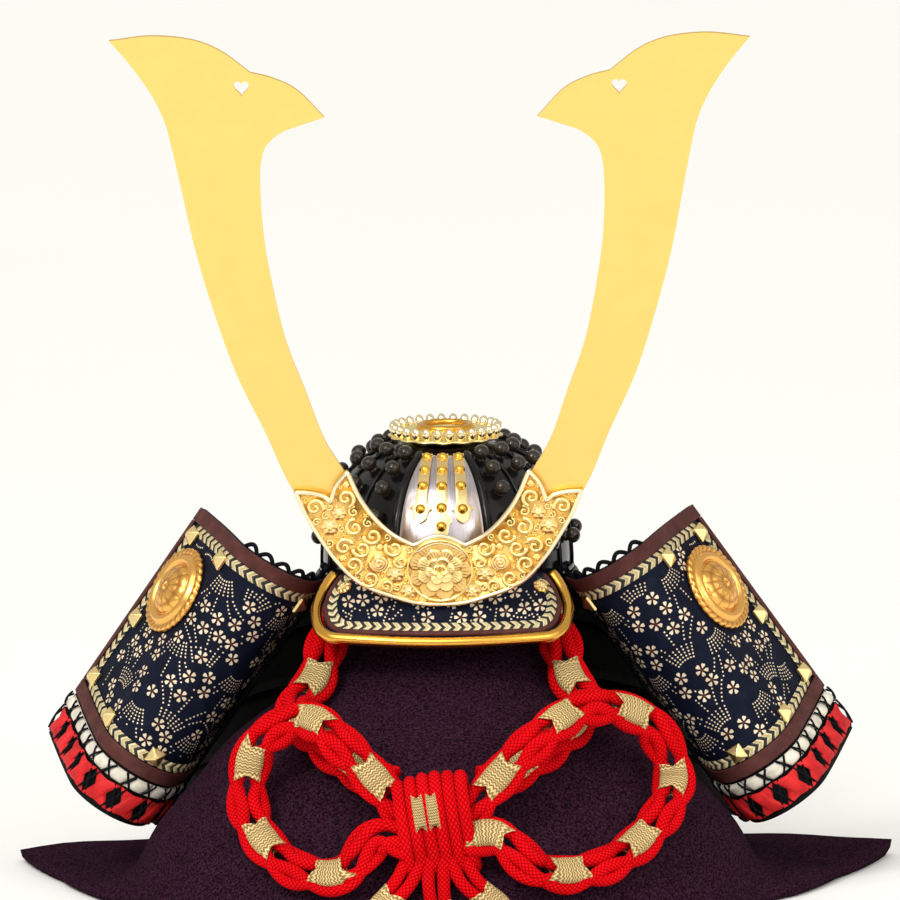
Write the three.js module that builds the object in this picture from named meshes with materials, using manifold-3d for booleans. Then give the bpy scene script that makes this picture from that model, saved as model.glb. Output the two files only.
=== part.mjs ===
// A samurai helmet, a kabuto, at display size, resting on its cloth-draped stand.
// Millimetres, +Z up, the front towards -Y, and +X to the right of someone who faces the front.
import * as THREE from "three";
import { mergeVertices } from "three/addons/utils/BufferGeometryUtils.js";
import Module from "manifold-3d";

const wasm = await Module();
wasm.setup();

// Clearance between pieces that touch on the real helmet.
const GAP = 0.3;

// Bowl: a high dome of iron plates with ridges and star rivets.
const BOWL_HALF_WIDTH = 41;
const BOWL_HALF_DEPTH = 45;
const BOWL_HEIGHT = 43;
const BOWL_RIM_Z = 105;
const BOWL_WALL = 2;
const BOWL_FULLNESS = 2.6;
const GORES = 16;
const RIDGE_WIDTH = 0.9;
const RIDGE_HEIGHT = 1.1;
const FRONT_RIDGE_WIDTH = 2.4;
const FRONT_RIDGE_HEIGHT = 2.2;
const STAR_RADIUS = 2.25;
const STAR_LIFT = 1.3;
const STAR_LEVELS = [0.12, 0.28, 0.44, 0.58, 0.71];

// Front plate of polished steel with three gilt strips.
const PLATE_THICKNESS = 0.9;
const PLATE_FOOT = 0.1;
const PLATE_HEAD = 0.74;
const STRIP_WIDTH = 3.8;
const STRIP_THICKNESS = 0.8;
const STRIP_HEAD = 0.72;
const STRIP_FOOT = 0.26;
const CENTRE_STRIP_FOOT = 0.18;
const STRIP_STEP_HEAD = 5.4;
const STRIP_STEP_FOOT = 7.6;
const STRIP_RIVET_RADIUS = 1.5;
// Half-width of a strip as a share of its own, from head to foot.
const STRIP_OUTLINE = [
  { along: 0, half: 0.5 },
  { along: 0.2, half: 0.5 },
  { along: 0.4, half: 0.5 },
  { along: 0.6, half: 0.5 },
  { along: 0.74, half: 0.52 },
  { along: 0.84, half: 1.0 },
  { along: 0.92, half: 0.86 },
  { along: 1, half: 0.12 },
];
const STRIP_RIVETS = [0.1, 0.32, 0.56, 0.82];

// Crown fitting: a scalloped disc under an open ring.
const CROWN_RADIUS = 18.6;
const CROWN_THICKNESS = 1.6;
const CROWN_BEADS = 16;
const CROWN_BEAD_RADIUS = 2.1;
const CROWN_COLLAR_RADIUS = 11;
const CROWN_COLLAR_HEIGHT = 2.2;
const RING_RADIUS = 8.3;
const RING_WIRE = 1.25;

// Visor, with a tube rim along its free edge.
const VISOR_HALF_WIDTH = 39.5;
const VISOR_ABOVE_RIM = 4;
const VISOR_BELOW_RIM = 12.5;
const VISOR_REACH = 15;
const VISOR_FLATNESS = 84;
const VISOR_THICKNESS = 1.6;
const VISOR_RIM_RADIUS = 1.9;
const VISOR_OUTLINE = [
  { along: 0, half: 0.84 },
  { along: 0.15, half: 0.9 },
  { along: 0.35, half: 0.96 },
  { along: 0.6, half: 1 },
  { along: 0.8, half: 0.985 },
  { along: 0.93, half: 0.94 },
  { along: 1, half: 0.86 },
];
const ROSETTE_RADIUS = 2.7;
const ROSETTE_THICKNESS = 1.3;
const ROSETTE_PLACE = { across: 0.82, along: 0.22 };

// Horn base: a cast crescent that stands before the visor and leans forward.
const LEAN = 12;
const BASE_HALF_WIDTH = 47.4;
const BASE_HEIGHT = 47.3;
const BASE_THICKNESS = 2.6;
// Place of its foot down the visor.
const BASE_SEAT = 0.4;
const BASE_RIM_RADIUS = 0.85;
const BASE_MEDAL_RADIUS = 11.2;
const BASE_MEDAL_RISE = 2.4;
const BASE_MEDAL_V = 0.262;
const BASE_MEDAL_PETALS = 8;
const BASE_COIL_RADIUS = 3.2;
const BASE_COIL_RISE = 1.8;
const BASE_COIL_PLACE = { across: 0.42, up: 0.32 };
// Half of the crescent from the middle of its foot to the middle of its inner edge.
const BASE_OUTLINE = [
  { across: 0, up: 0 },
  { across: 0.18, up: 0.015 },
  { across: 0.347, up: 0.067 },
  { across: 0.485, up: 0.12 },
  { across: 0.601, up: 0.194 },
  { across: 0.725, up: 0.335 },
  { across: 0.835, up: 0.507 },
  { across: 0.93, up: 0.68 },
  { across: 1, up: 0.85 },
  { across: 0.897, up: 0.843 },
  { across: 0.808, up: 0.821 },
  { across: 0.753, up: 0.776 },
  { across: 0.718, up: 0.896 },
  { across: 0.636, up: 1 },
  { across: 0.546, up: 0.791 },
  { across: 0.43, up: 0.625 },
  { across: 0.32, up: 0.522 },
  { across: 0.189, up: 0.448 },
  { across: 0.162, up: 0.455 },
  { across: 0.086, up: 0.496 },
  { across: 0, up: 0.515 },
];
const BASE_TOP_FROM = 8;
// Scrolls in relief on each arm: centre and size as shares of the arm's own.
const BASE_SCROLLS = [
  { across: 0.84, up: 0.7, size: 0.065 },
  { across: 0.69, up: 0.79, size: 0.06 },
  { across: 0.72, up: 0.56, size: 0.075 },
  { across: 0.58, up: 0.4, size: 0.075 },
];
const SCROLL_WIRE = 0.55;

// Horns: flat gilt plates with a heart-shaped hole.
const HORN_SPAN = 104.6;
const HORN_RISE = 199;
const HORN_THICKNESS = 1.2;
const HORN_HOLE = { across: 0.59, up: 0.909 };
const HORN_HOLE_SIZE = 2.7;
const HORN_OUTLINE = [
  { across: 1, up: 0.992 },
  { across: 0.861, up: 1 },
  { across: 0.729, up: 0.991 },
  { across: 0.65, up: 0.972 },
  { across: 0.562, up: 0.935 },
  { across: 0.498, up: 0.926 },
  { across: 0.422, up: 0.906 },
  { across: 0.333, up: 0.856 },
  { across: 0.409, up: 0.842 },
  { across: 0.467, up: 0.83 },
  { across: 0.516, up: 0.807 },
  { across: 0.533, up: 0.781 },
  { across: 0.538, up: 0.736 },
  { across: 0.531, up: 0.648 },
  { across: 0.51, up: 0.57 },
  { across: 0.469, up: 0.464 },
  { across: 0.411, up: 0.375 },
  { across: 0.353, up: 0.287 },
  { across: 0.305, up: 0.242 },
  { across: 0.252, up: 0.195 },
  { across: 0.36, up: 0.13 },
  { across: 0.459, up: 0.202 },
  { across: 0.541, up: 0.304 },
  { across: 0.63, up: 0.411 },
  { across: 0.721, up: 0.57 },
  { across: 0.75, up: 0.634 },
  { across: 0.782, up: 0.722 },
  { across: 0.809, up: 0.795 },
  { across: 0.832, up: 0.848 },
  { across: 0.867, up: 0.892 },
  { across: 0.93, up: 0.945 },
];

// Neck guard: rows of plates that flare from the bowl's rim around the back.
const GUARD_FLARE = 35;
const GUARD_CLEAR = 0.9;
const GUARD_THICKNESS = 1.5;
const GUARD_END_ANGLE = 108;
const GUARD_END_TURN = 80;
const GUARD_ROWS = 3;
const GUARD_ROW_LENGTH = 28;
const LAST_ROW_FRONT = 17;
const LAST_ROW_BACK = 31;
const LACING_THICKNESS = 1.6;
const WHITE_LACING_HEIGHT = 4.2;
const RED_LACING_HEIGHT = 9;

// Turnbacks: the front ends of the neck guard, bent outwards.
const TURN_LEG = 10;
const TURN_LEG_ANGLE = 75;
const TURN_RADIUS = 15.5;
const TURN_WING_ANGLE = 65;
const TURN_WING = 32;
const TURN_LENGTH = 84;
const TURN_TOP_SKEW = 8;
const TURN_TOP_BULGE = 2.2;
const TURN_FOOT_BULGE = 2.4;
const TURN_THICKNESS = 1.8;
const BAND_WIDTH = 5;
const BAND_THICKNESS = 0.7;
const MEDAL_RADIUS = 14.8;
const MEDAL_THICKNESS = 1.4;
const MEDAL_BOSS_RADIUS = 8;
const MEDAL_BOSS_RISE = 3.6;
const MEDAL_TEETH = 18;
const STUD_SIZE = 5.4;
const STUD_HEIGHT = 3;
const STUD_BASE = 0.8;
// Studs by their place across the panel, as a share from its inner to its outer edge, and down it.
const STUD_PLACES = [
  { across: 0.13, down: 0.115 },
  { across: 0.6, down: 0.11 },
  { across: 0.92, down: 0.12 },
  { across: 0.92, down: 0.56 },
  { across: 0.93, down: 0.88 },
  { across: 0.62, down: 0.9 },
  { across: 0.33, down: 0.9 },
];
const MEDAL_PLACE = { across: 0.77, down: 0.34 };

// Stand: a plain turned core under a draped cloth.
const CLOTH_WALL = 1.8;
const MOUND_RADIUS = 110;
const MOUND_FORWARD = 18;
// Behind the front ends of the neck guard the mound is narrower by this share.
const MOUND_BACK_EASE = 0.085;
const MOUND_EASE_FROM = -36;
const MOUND_EASE_TO = -17;
const FLAP_REACH = 56.3;
const FLAP_HALF_ANGLE = 38;
// The cloth's side corners lie this far behind the middle of its mound, in degrees.
const FLAP_TURN = 22.5;
const FLAP_THICKNESS = 3.4;
const CLOTH_STEPS = 24;
// Cloth profile: radius and height as shares, and how far forward that ring lies.
const MOUND_PROFILE = [
  { radius: 1, height: 0, forward: 1 },
  { radius: 0.985, height: 0.0235, forward: 1 },
  { radius: 0.965, height: 0.05, forward: 1 },
  { radius: 0.945, height: 0.09, forward: 1 },
  { radius: 0.89, height: 0.17, forward: 1 },
  { radius: 0.786, height: 0.265, forward: 1 },
  { radius: 0.675, height: 0.365, forward: 1 },
  { radius: 0.56, height: 0.43, forward: 0.9 },
  { radius: 0.455, height: 0.48, forward: 0.75 },
  { radius: 0.365, height: 0.55, forward: 0.5 },
  { radius: 0.26, height: 0.65, forward: 0.1 },
  { radius: 0.212, height: 0.76, forward: 0 },
  { radius: 0.205, height: 0.86, forward: 0 },
  { radius: 0.18, height: 0.94, forward: 0 },
  { radius: 0.1, height: 0.985, forward: 0 },
  { radius: 0, height: 1, forward: 0 },
];

// Chin cord: ropes of paired braids that hang from the rim, tied in a bow on the cloth.
const ROPE_RADIUS = 6;
const TAIL_RADIUS = 4.6;
const ROPE_SIDES = 8;
// Each rope hangs free from inside the rim: x, y, z.
const CHIN_ROPE_HUNG = [
  [27, -12, 112],
  [27, -15, 103.5],
  [33, -26, 96.5],
  [38, -38, 88],
  [42, -50, 76],
];
// Then it lies on the mound: x, height, and how far its centre stands off the cloth.
const CHIN_ROPE_LAID = [
  [45, 63, 7.5],
  [36, 55, 7],
  [24, 49, 7],
  [14, 46, 7],
];
const BOW_LOOP_LEFT = [
  [15.5, 40, 17.5],
  [24, 48.5, 22.5],
  [37, 53, 22],
  [50, 49, 19],
  [57, 38, 12],
  [55, 28, 9],
  [44, 21, 5.9],
  [28, 20, 9],
  [17.5, 28, 12.5],
];
const BOW_LOOP_RIGHT = [
  [15.5, 40, 17.5],
  [25, 49, 23],
  [42, 55, 22.5],
  [59, 51, 19],
  [69, 40, 12],
  [66, 29, 9],
  [52, 21, 6.1],
  [32, 20, 9],
  [17.5, 28, 12.5],
];
const KNOT = { halfWidth: 8.5, halfDepth: 8.5, halfHeight: 12.5, height: 35 };
const TAILS = {
  left: { laid: [[-10, 19, 5.4], [-17, 11, 5.2]], floor: [[-25, -138], [-36, -143]] },
  middle: { laid: [[0, 17, 5.5], [1, 10, 5.1]], floor: [[3, -142], [6, -150]] },
  right: { laid: [[10, 19, 5.4], [19, 11, 5.2]], floor: [[29, -137], [42, -141]] },
};

const rad = THREE.MathUtils.degToRad;
const vec = (x, y, z) => new THREE.Vector3(x, y, z);

// Signed volume of an indexed geometry, positive when its faces point outwards.
function signedVolume(geometry) {
  const at = geometry.attributes.position;
  const index = geometry.index.array;
  const [a, b, c] = [vec(), vec(), vec()];
  let sum = 0;
  for (let i = 0; i < index.length; i += 3) {
    a.fromBufferAttribute(at, index[i]);
    b.fromBufferAttribute(at, index[i + 1]);
    c.fromBufferAttribute(at, index[i + 2]);
    sum += a.dot(b.cross(c)) / 6;
  }
  return sum;
}

// Position-only geometry with shared vertices, no empty triangles, and faces outwards.
function closed(geometry) {
  const bare = new THREE.BufferGeometry();
  bare.setAttribute("position", geometry.attributes.position.clone());
  if (geometry.index) bare.setIndex(geometry.index.clone());
  const merged = mergeVertices(bare, 1e-4);
  const source = merged.index.array;
  const kept = [];
  for (let i = 0; i < source.length; i += 3) {
    const [a, b, c] = [source[i], source[i + 1], source[i + 2]];
    if (a !== b && b !== c && c !== a) kept.push(a, b, c);
  }
  merged.setIndex(kept);
  if (signedVolume(merged) < 0) {
    for (let i = 0; i < kept.length; i += 3) [kept[i + 1], kept[i + 2]] = [kept[i + 2], kept[i + 1]];
    merged.setIndex(kept);
  }
  return merged;
}

function manifoldOf(geometry) {
  const g = closed(geometry);
  return new wasm.Manifold(
    new wasm.Mesh({
      numProp: 3,
      vertProperties: new Float32Array(g.attributes.position.array),
      triVerts: new Uint32Array(g.index.array),
    }),
  );
}

function geometryOf(solid) {
  const mesh = solid.getMesh();
  const geometry = new THREE.BufferGeometry();
  geometry.setAttribute("position", new THREE.BufferAttribute(new Float32Array(mesh.vertProperties), 3));
  geometry.setIndex(Array.from(mesh.triVerts));
  return geometry;
}

// One solid of a main geometry and what is riveted or cast on it.
function joined(main, additions) {
  let solid = manifoldOf(main);
  for (const extra of additions) solid = solid.add(manifoldOf(extra));
  return geometryOf(solid);
}

// A closed loft through rings of equal length, with flat ends or, when looped, none.
function loft(rings, looped = false) {
  const count = rings[0].length;
  const points = rings.flat();
  const index = [];
  const last = looped ? rings.length : rings.length - 1;
  for (let i = 0; i < last; i++) {
    const next = (i + 1) % rings.length;
    for (let j = 0; j < count; j++) {
      const k = (j + 1) % count;
      index.push(i * count + j, i * count + k, next * count + k);
      index.push(i * count + j, next * count + k, next * count + j);
    }
  }
  if (!looped) {
    for (const [ring, forward] of [[0, false], [rings.length - 1, true]]) {
      const middle = new THREE.Vector3();
      for (const p of rings[ring]) middle.addScaledVector(p, 1 / count);
      points.push(middle);
      for (let j = 0; j < count; j++) {
        const [a, b] = [ring * count + j, ring * count + ((j + 1) % count)];
        index.push(...(forward ? [a, b, points.length - 1] : [b, a, points.length - 1]));
      }
    }
  }
  const geometry = new THREE.BufferGeometry().setFromPoints(points);
  geometry.setIndex(index);
  return closed(geometry);
}

// Normals of a grid of surface points, by central differences.
function gridNormals(grid) {
  return grid.map((row, i) =>
    row.map((_, j) => {
      const up = vec().subVectors(grid[Math.min(i + 1, grid.length - 1)][j], grid[Math.max(i - 1, 0)][j]);
      const across = vec().subVectors(row[Math.min(j + 1, row.length - 1)], row[Math.max(j - 1, 0)]);
      return across.cross(up).normalize();
    }),
  );
}

// A plate between an outer and an inner grid of points of the same size.
function slab(outer, inner) {
  return stripLoft(outer.map((row, i) => [...row, ...inner[i].slice().reverse()]), outer[0].length);
}

// A plate whose outer face is the grid, raised by lift, with its thickness below that face.
function plate(grid, thickness, lift, outwards) {
  const normals = gridNormals(grid);
  const side = normals[grid.length >> 1][grid[0].length >> 1].dot(outwards) < 0 ? -1 : 1;
  const faceAt = (depth) =>
    grid.map((row, i) => row.map((p, j) => p.clone().addScaledVector(normals[i][j], side * depth)));
  return slab(faceAt(lift), faceAt(lift - thickness));
}

// Loft of thin rings: like loft, but its two end faces are cut as strips.
function stripLoft(rings, width) {
  const count = rings[0].length;
  const index = [];
  for (let i = 0; i < rings.length - 1; i++) {
    for (let j = 0; j < count; j++) {
      const k = (j + 1) % count;
      index.push(i * count + j, i * count + k, (i + 1) * count + k);
      index.push(i * count + j, (i + 1) * count + k, (i + 1) * count + j);
    }
  }
  for (const [ring, forward] of [[0, false], [rings.length - 1, true]]) {
    for (let j = 0; j < width - 1; j++) {
      const base = ring * count;
      const quad = [base + j, base + j + 1, base + count - 2 - j, base + count - 1 - j];
      if (!forward) quad.reverse();
      index.push(quad[0], quad[1], quad[2], quad[0], quad[2], quad[3]);
    }
  }
  const geometry = new THREE.BufferGeometry().setFromPoints(rings.flat());
  geometry.setIndex(index);
  return closed(geometry);
}

// A solid tube along points, with round section.
function tube(points, radius, sides, steps) {
  const curve = new THREE.CatmullRomCurve3(points, false, "centripetal");
  const section = new THREE.Shape();
  section.absarc(0, 0, radius, 0, 2 * Math.PI, false);
  return new THREE.ExtrudeGeometry(section, { steps, curveSegments: sides / 2, extrudePath: curve });
}

// A ball, flattened by squeeze along its own z, turned so that z lies along a direction.
function ball(place, radius, direction = vec(0, 0, 1), squeeze = 1, sides = 5, rings = 3) {
  const geometry = new THREE.SphereGeometry(radius, sides, rings).rotateX(Math.PI / 2).scale(1, 1, squeeze);
  const turn = new THREE.Quaternion().setFromUnitVectors(vec(0, 0, 1), direction.clone().normalize());
  return geometry.applyQuaternion(turn).translate(place.x, place.y, place.z);
}

// Linear reading of a table by one named column.
function read(table, key, at, column) {
  let i = 1;
  while (i < table.length - 1 && table[i][key] < at) i++;
  const [a, b] = [table[i - 1], table[i]];
  const t = THREE.MathUtils.clamp((at - a[key]) / (b[key] - a[key]), 0, 1);
  return THREE.MathUtils.lerp(a[column], b[column], t);
}

// Bowl surface: angle in degrees from the front towards +X, level 0 at the rim and 1 at the crown.
function bowlPoint(angle, level, lift = 0) {
  const tau = (level * Math.PI) / 2;
  const out = Math.cos(tau) ** (2 / BOWL_FULLNESS);
  const up = Math.sin(tau) ** (2 / BOWL_FULLNESS);
  const a = rad(angle);
  const point = vec(
    BOWL_HALF_WIDTH * out * Math.sin(a),
    -BOWL_HALF_DEPTH * out * Math.cos(a),
    BOWL_RIM_Z + BOWL_HEIGHT * up,
  );
  return point.addScaledVector(bowlNormal(angle, level), lift);
}

function bowlNormal(angle, level) {
  const tau = (THREE.MathUtils.clamp(level, 0.002, 0.998) * Math.PI) / 2;
  const n = BOWL_FULLNESS;
  const out = Math.cos(tau) ** (2 * (1 - 1 / n));
  const up = Math.sin(tau) ** (2 * (1 - 1 / n));
  const a = rad(angle);
  return vec(
    (out * Math.sin(a)) / BOWL_HALF_WIDTH,
    (-out * Math.cos(a)) / BOWL_HALF_DEPTH,
    up / BOWL_HEIGHT,
  ).normalize();
}

// Height of the bowl's outer face over its rim at a radius from the axis, on its longer side.
function bowlHeightAt(radius) {
  const n = BOWL_FULLNESS;
  return BOWL_HEIGHT * (1 - (radius / BOWL_HALF_DEPTH) ** n) ** (1 / n);
}

function bowlShell() {
  const levels = [0, 0.2, 0.4, 0.58, 0.75, 0.9, 1];
  const around = Array.from({ length: GORES }, (_, i) => (i * 360) / GORES);
  const ring = (level, lift) => around.map((angle) => bowlPoint(angle, level, lift));
  const outer = levels.map((level) => ring(level, 0)).reverse();
  const inner = levels.map((level) => ring(level, -BOWL_WALL));
  for (const p of inner[0]) p.z = BOWL_RIM_Z;
  return loft([...outer, ...inner]);
}

// A raised ridge along one meridian of the bowl.
function ridge(angle, width, height, from, to) {
  const steps = 5;
  const tangent = vec(Math.cos(rad(angle)), Math.sin(rad(angle)), 0).multiplyScalar(width / 2);
  const rings = [];
  for (let i = 0; i <= steps; i++) {
    const level = from + ((to - from) * i) / steps;
    const low = bowlPoint(angle, level, -BOWL_WALL / 2);
    const high = bowlPoint(angle, level, height);
    rings.push([
      low.clone().sub(tangent),
      low.clone().add(tangent),
      high.clone().add(tangent),
      high.clone().sub(tangent),
    ]);
  }
  return loft(rings);
}

// A star rivet: a round head that tapers a little towards its top.
function star(place, normal) {
  const root = BOWL_WALL * 0.85;
  const height = STAR_RADIUS + STAR_LIFT + root;
  const head = new THREE.CylinderGeometry(STAR_RADIUS * 0.62, STAR_RADIUS, height, 5);
  const turn = new THREE.Quaternion().setFromUnitVectors(vec(0, 1, 0), normal);
  const seat = place.clone().addScaledVector(normal, height / 2 - root);
  return head.applyQuaternion(turn).translate(seat.x, seat.y, seat.z);
}

function bowl() {
  const extras = [];
  const step = 360 / GORES;
  for (let i = 0; i < GORES; i++) {
    const front = i === 1 || i === GORES - 1;
    const angle = i * step;
    if (i === 0) continue;
    const [width, height] = front ? [FRONT_RIDGE_WIDTH, FRONT_RIDGE_HEIGHT] : [RIDGE_WIDTH, RIDGE_HEIGHT];
    extras.push(ridge(angle, width, height, 0.005, 0.74));
  }
  for (let i = 1; i < GORES - 1; i++) {
    const angle = (i + 0.5) * step;
    for (const level of STAR_LEVELS) {
      extras.push(star(bowlPoint(angle, level), bowlNormal(angle, level)));
    }
  }
  return joined(bowlShell(), extras);
}

function frontPlate() {
  const face = (lift) =>
    [0, 1, 2, 3, 4, 5, 6].map((i) => {
      const level = THREE.MathUtils.lerp(PLATE_FOOT, PLATE_HEAD, i / 6);
      const radius = bowlPoint(0, level).setZ(0).length();
      const half = 360 / GORES - THREE.MathUtils.radToDeg((FRONT_RIDGE_WIDTH / 2 + 2 * GAP) / radius);
      return [-3, -2, -1, 0, 1, 2, 3].map((j) => bowlPoint((half * j) / 3, level, lift));
    });
  return slab(face(GAP + PLATE_THICKNESS), face(GAP));
}

const STRIP_LIFT = 2 * GAP + PLATE_THICKNESS + STRIP_THICKNESS;

function strip(side, foot) {
  const at = (along, across, lift) => {
    const level = THREE.MathUtils.lerp(STRIP_HEAD, foot, along);
    const radius = bowlPoint(0, level).setZ(0).length();
    const x = side * THREE.MathUtils.lerp(STRIP_STEP_HEAD, STRIP_STEP_FOOT, along) + across;
    return bowlPoint(THREE.MathUtils.radToDeg(x / radius), level, lift);
  };
  const face = (lift) =>
    STRIP_OUTLINE.map(({ along, half }) => [-1, 0, 1].map((j) => at(along, j * half * STRIP_WIDTH, lift)));
  const rivets = STRIP_RIVETS.map((along) => {
    const normal = vec().subVectors(at(along, 0, 1), at(along, 0, 0));
    return ball(at(along, 0, STRIP_LIFT), STRIP_RIVET_RADIUS, normal, 0.8);
  });
  return joined(slab(face(STRIP_LIFT), face(STRIP_LIFT - STRIP_THICKNESS)), rivets);
}

const CROWN_LIFT = GAP + FRONT_RIDGE_HEIGHT * 0.2;

function crownDisc() {
  const under = [CROWN_RADIUS, CROWN_RADIUS * 0.8, CROWN_RADIUS * 0.6, CROWN_RADIUS * 0.35].map(
    (r) => new THREE.Vector2(r, BOWL_RIM_Z + bowlHeightAt(r) + STRIP_LIFT + GAP * (r / CROWN_RADIUS)),
  );
  const crownZ = BOWL_RIM_Z + BOWL_HEIGHT + CROWN_LIFT;
  const seat = new THREE.Vector2(0, crownZ);
  const top = under.map((p) => new THREE.Vector2(p.x, p.y + CROWN_THICKNESS));
  const collarTop = crownZ + CROWN_COLLAR_HEIGHT;
  const hole = RING_RADIUS - RING_WIRE;
  const profile = [
    seat,
    new THREE.Vector2(under[3].x * 0.6, crownZ),
    ...under.slice().reverse(),
    top[0],
    top[1],
    new THREE.Vector2(CROWN_COLLAR_RADIUS, top[2].y),
    new THREE.Vector2(CROWN_COLLAR_RADIUS - 0.8, collarTop),
    new THREE.Vector2(hole, collarTop),
    new THREE.Vector2(hole, crownZ + 1),
    new THREE.Vector2(0, crownZ + 1),
  ];
  const beads = [];
  for (let i = 0; i < CROWN_BEADS; i++) {
    const a = (2 * Math.PI * i) / CROWN_BEADS;
    const r = CROWN_RADIUS - CROWN_BEAD_RADIUS * 0.5;
    beads.push(ball(vec(r * Math.cos(a), r * Math.sin(a), top[0].y + 0.2), CROWN_BEAD_RADIUS));
  }
  return joined(new THREE.LatheGeometry(profile, 24).rotateX(Math.PI / 2), beads);
}

function crownRing() {
  const z = BOWL_RIM_Z + BOWL_HEIGHT + CROWN_LIFT + CROWN_COLLAR_HEIGHT + GAP + RING_WIRE;
  return new THREE.TorusGeometry(RING_RADIUS, RING_WIRE, 6, 20).translate(0, 0, z);
}

// Visor surface: across from -1 to 1 and along from its seat on the bowl to its free edge.
function visorPoint(across, along) {
  const x = across * VISOR_HALF_WIDTH;
  const seatWidth = BOWL_HALF_WIDTH + FRONT_RIDGE_HEIGHT + GAP + VISOR_THICKNESS + 0.7;
  const seatDepth = BOWL_HALF_DEPTH + FRONT_RIDGE_HEIGHT + VISOR_THICKNESS;
  const seat = seatDepth * Math.sqrt(1 - (x / seatWidth) ** 2);
  const edge = (seatDepth + VISOR_REACH) * Math.sqrt(1 - (x / VISOR_FLATNESS) ** 2);
  const y = THREE.MathUtils.lerp(seat, edge, along ** 0.85);
  return vec(x, -y, BOWL_RIM_Z + THREE.MathUtils.lerp(VISOR_ABOVE_RIM, -VISOR_BELOW_RIM, along));
}

function visor() {
  const grid = VISOR_OUTLINE.map(({ along, half }) => {
    const row = [];
    for (let j = -6; j <= 6; j++) row.push(visorPoint((half * j) / 6, along));
    return row;
  });
  return plate(grid, VISOR_THICKNESS, 0, vec(0, -1, 0.5));
}

// Rim tube around the visor's free edge, clear of the plate by the gap.
function visorRim() {
  const off = VISOR_RIM_RADIUS + GAP + 0.2;
  const edge = [];
  const side = VISOR_OUTLINE.map(({ along, half }) => visorPoint(half, along));
  for (const p of side) edge.push(p);
  const foot = VISOR_OUTLINE[VISOR_OUTLINE.length - 1].half;
  for (let j = 5; j >= -5; j--) if (Math.abs(j) < 5) edge.push(visorPoint((foot * j) / 5, 1));
  for (const p of side.slice().reverse()) edge.push(vec(-p.x, p.y, p.z));
  const middle = visorPoint(0, 0.45);
  const down = vec().subVectors(visorPoint(0, 1), visorPoint(0, 0)).normalize();
  const path = edge.map((p, i) => {
    const before = edge[Math.max(i - 1, 0)];
    const after = edge[Math.min(i + 1, edge.length - 1)];
    const along = vec().subVectors(after, before).normalize();
    const away = vec().subVectors(p, middle);
    away.addScaledVector(along, -away.dot(along)).normalize();
    if (i > 4 && i < edge.length - 5) away.lerp(down, 0.8).normalize();
    return p.clone().addScaledVector(away, off + (i < 6 || i > edge.length - 7 ? 0.5 : 0));
  });
  return tube(path, VISOR_RIM_RADIUS, 6, 32);
}

function rosette(side) {
  const { across, along } = ROSETTE_PLACE;
  const place = visorPoint(side * across, along);
  const next = visorPoint(side * (across + 0.02), along);
  const lower = visorPoint(side * across, along + 0.02);
  const normal = vec().subVectors(next, place).cross(vec().subVectors(lower, place)).normalize();
  if (normal.y > 0) normal.negate();
  const disc = new THREE.CylinderGeometry(ROSETTE_RADIUS * 0.8, ROSETTE_RADIUS, ROSETTE_THICKNESS, 14);
  const turn = new THREE.Quaternion().setFromUnitVectors(vec(0, 1, 0), normal);
  const seat = place.addScaledVector(normal, ROSETTE_THICKNESS / 2 + GAP + 0.1);
  return disc.applyQuaternion(turn).translate(seat.x, seat.y, seat.z);
}

// Frame of the horn base: x across, y up along the lean, z towards the front.
function leaned(geometry) {
  const seat = visorPoint(0, BASE_SEAT);
  return geometry.rotateX(Math.PI / 2 + rad(LEAN)).translate(0, seat.y - 2 * GAP, seat.z);
}

function baseOutline() {
  const scaled = ({ across, up }) => new THREE.Vector2(across * BASE_HALF_WIDTH, up * BASE_HEIGHT);
  const half = BASE_OUTLINE.map(scaled);
  const other = half
    .slice(1, -1)
    .reverse()
    .map((p) => new THREE.Vector2(-p.x, p.y));
  return [...half, ...other];
}

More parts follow.
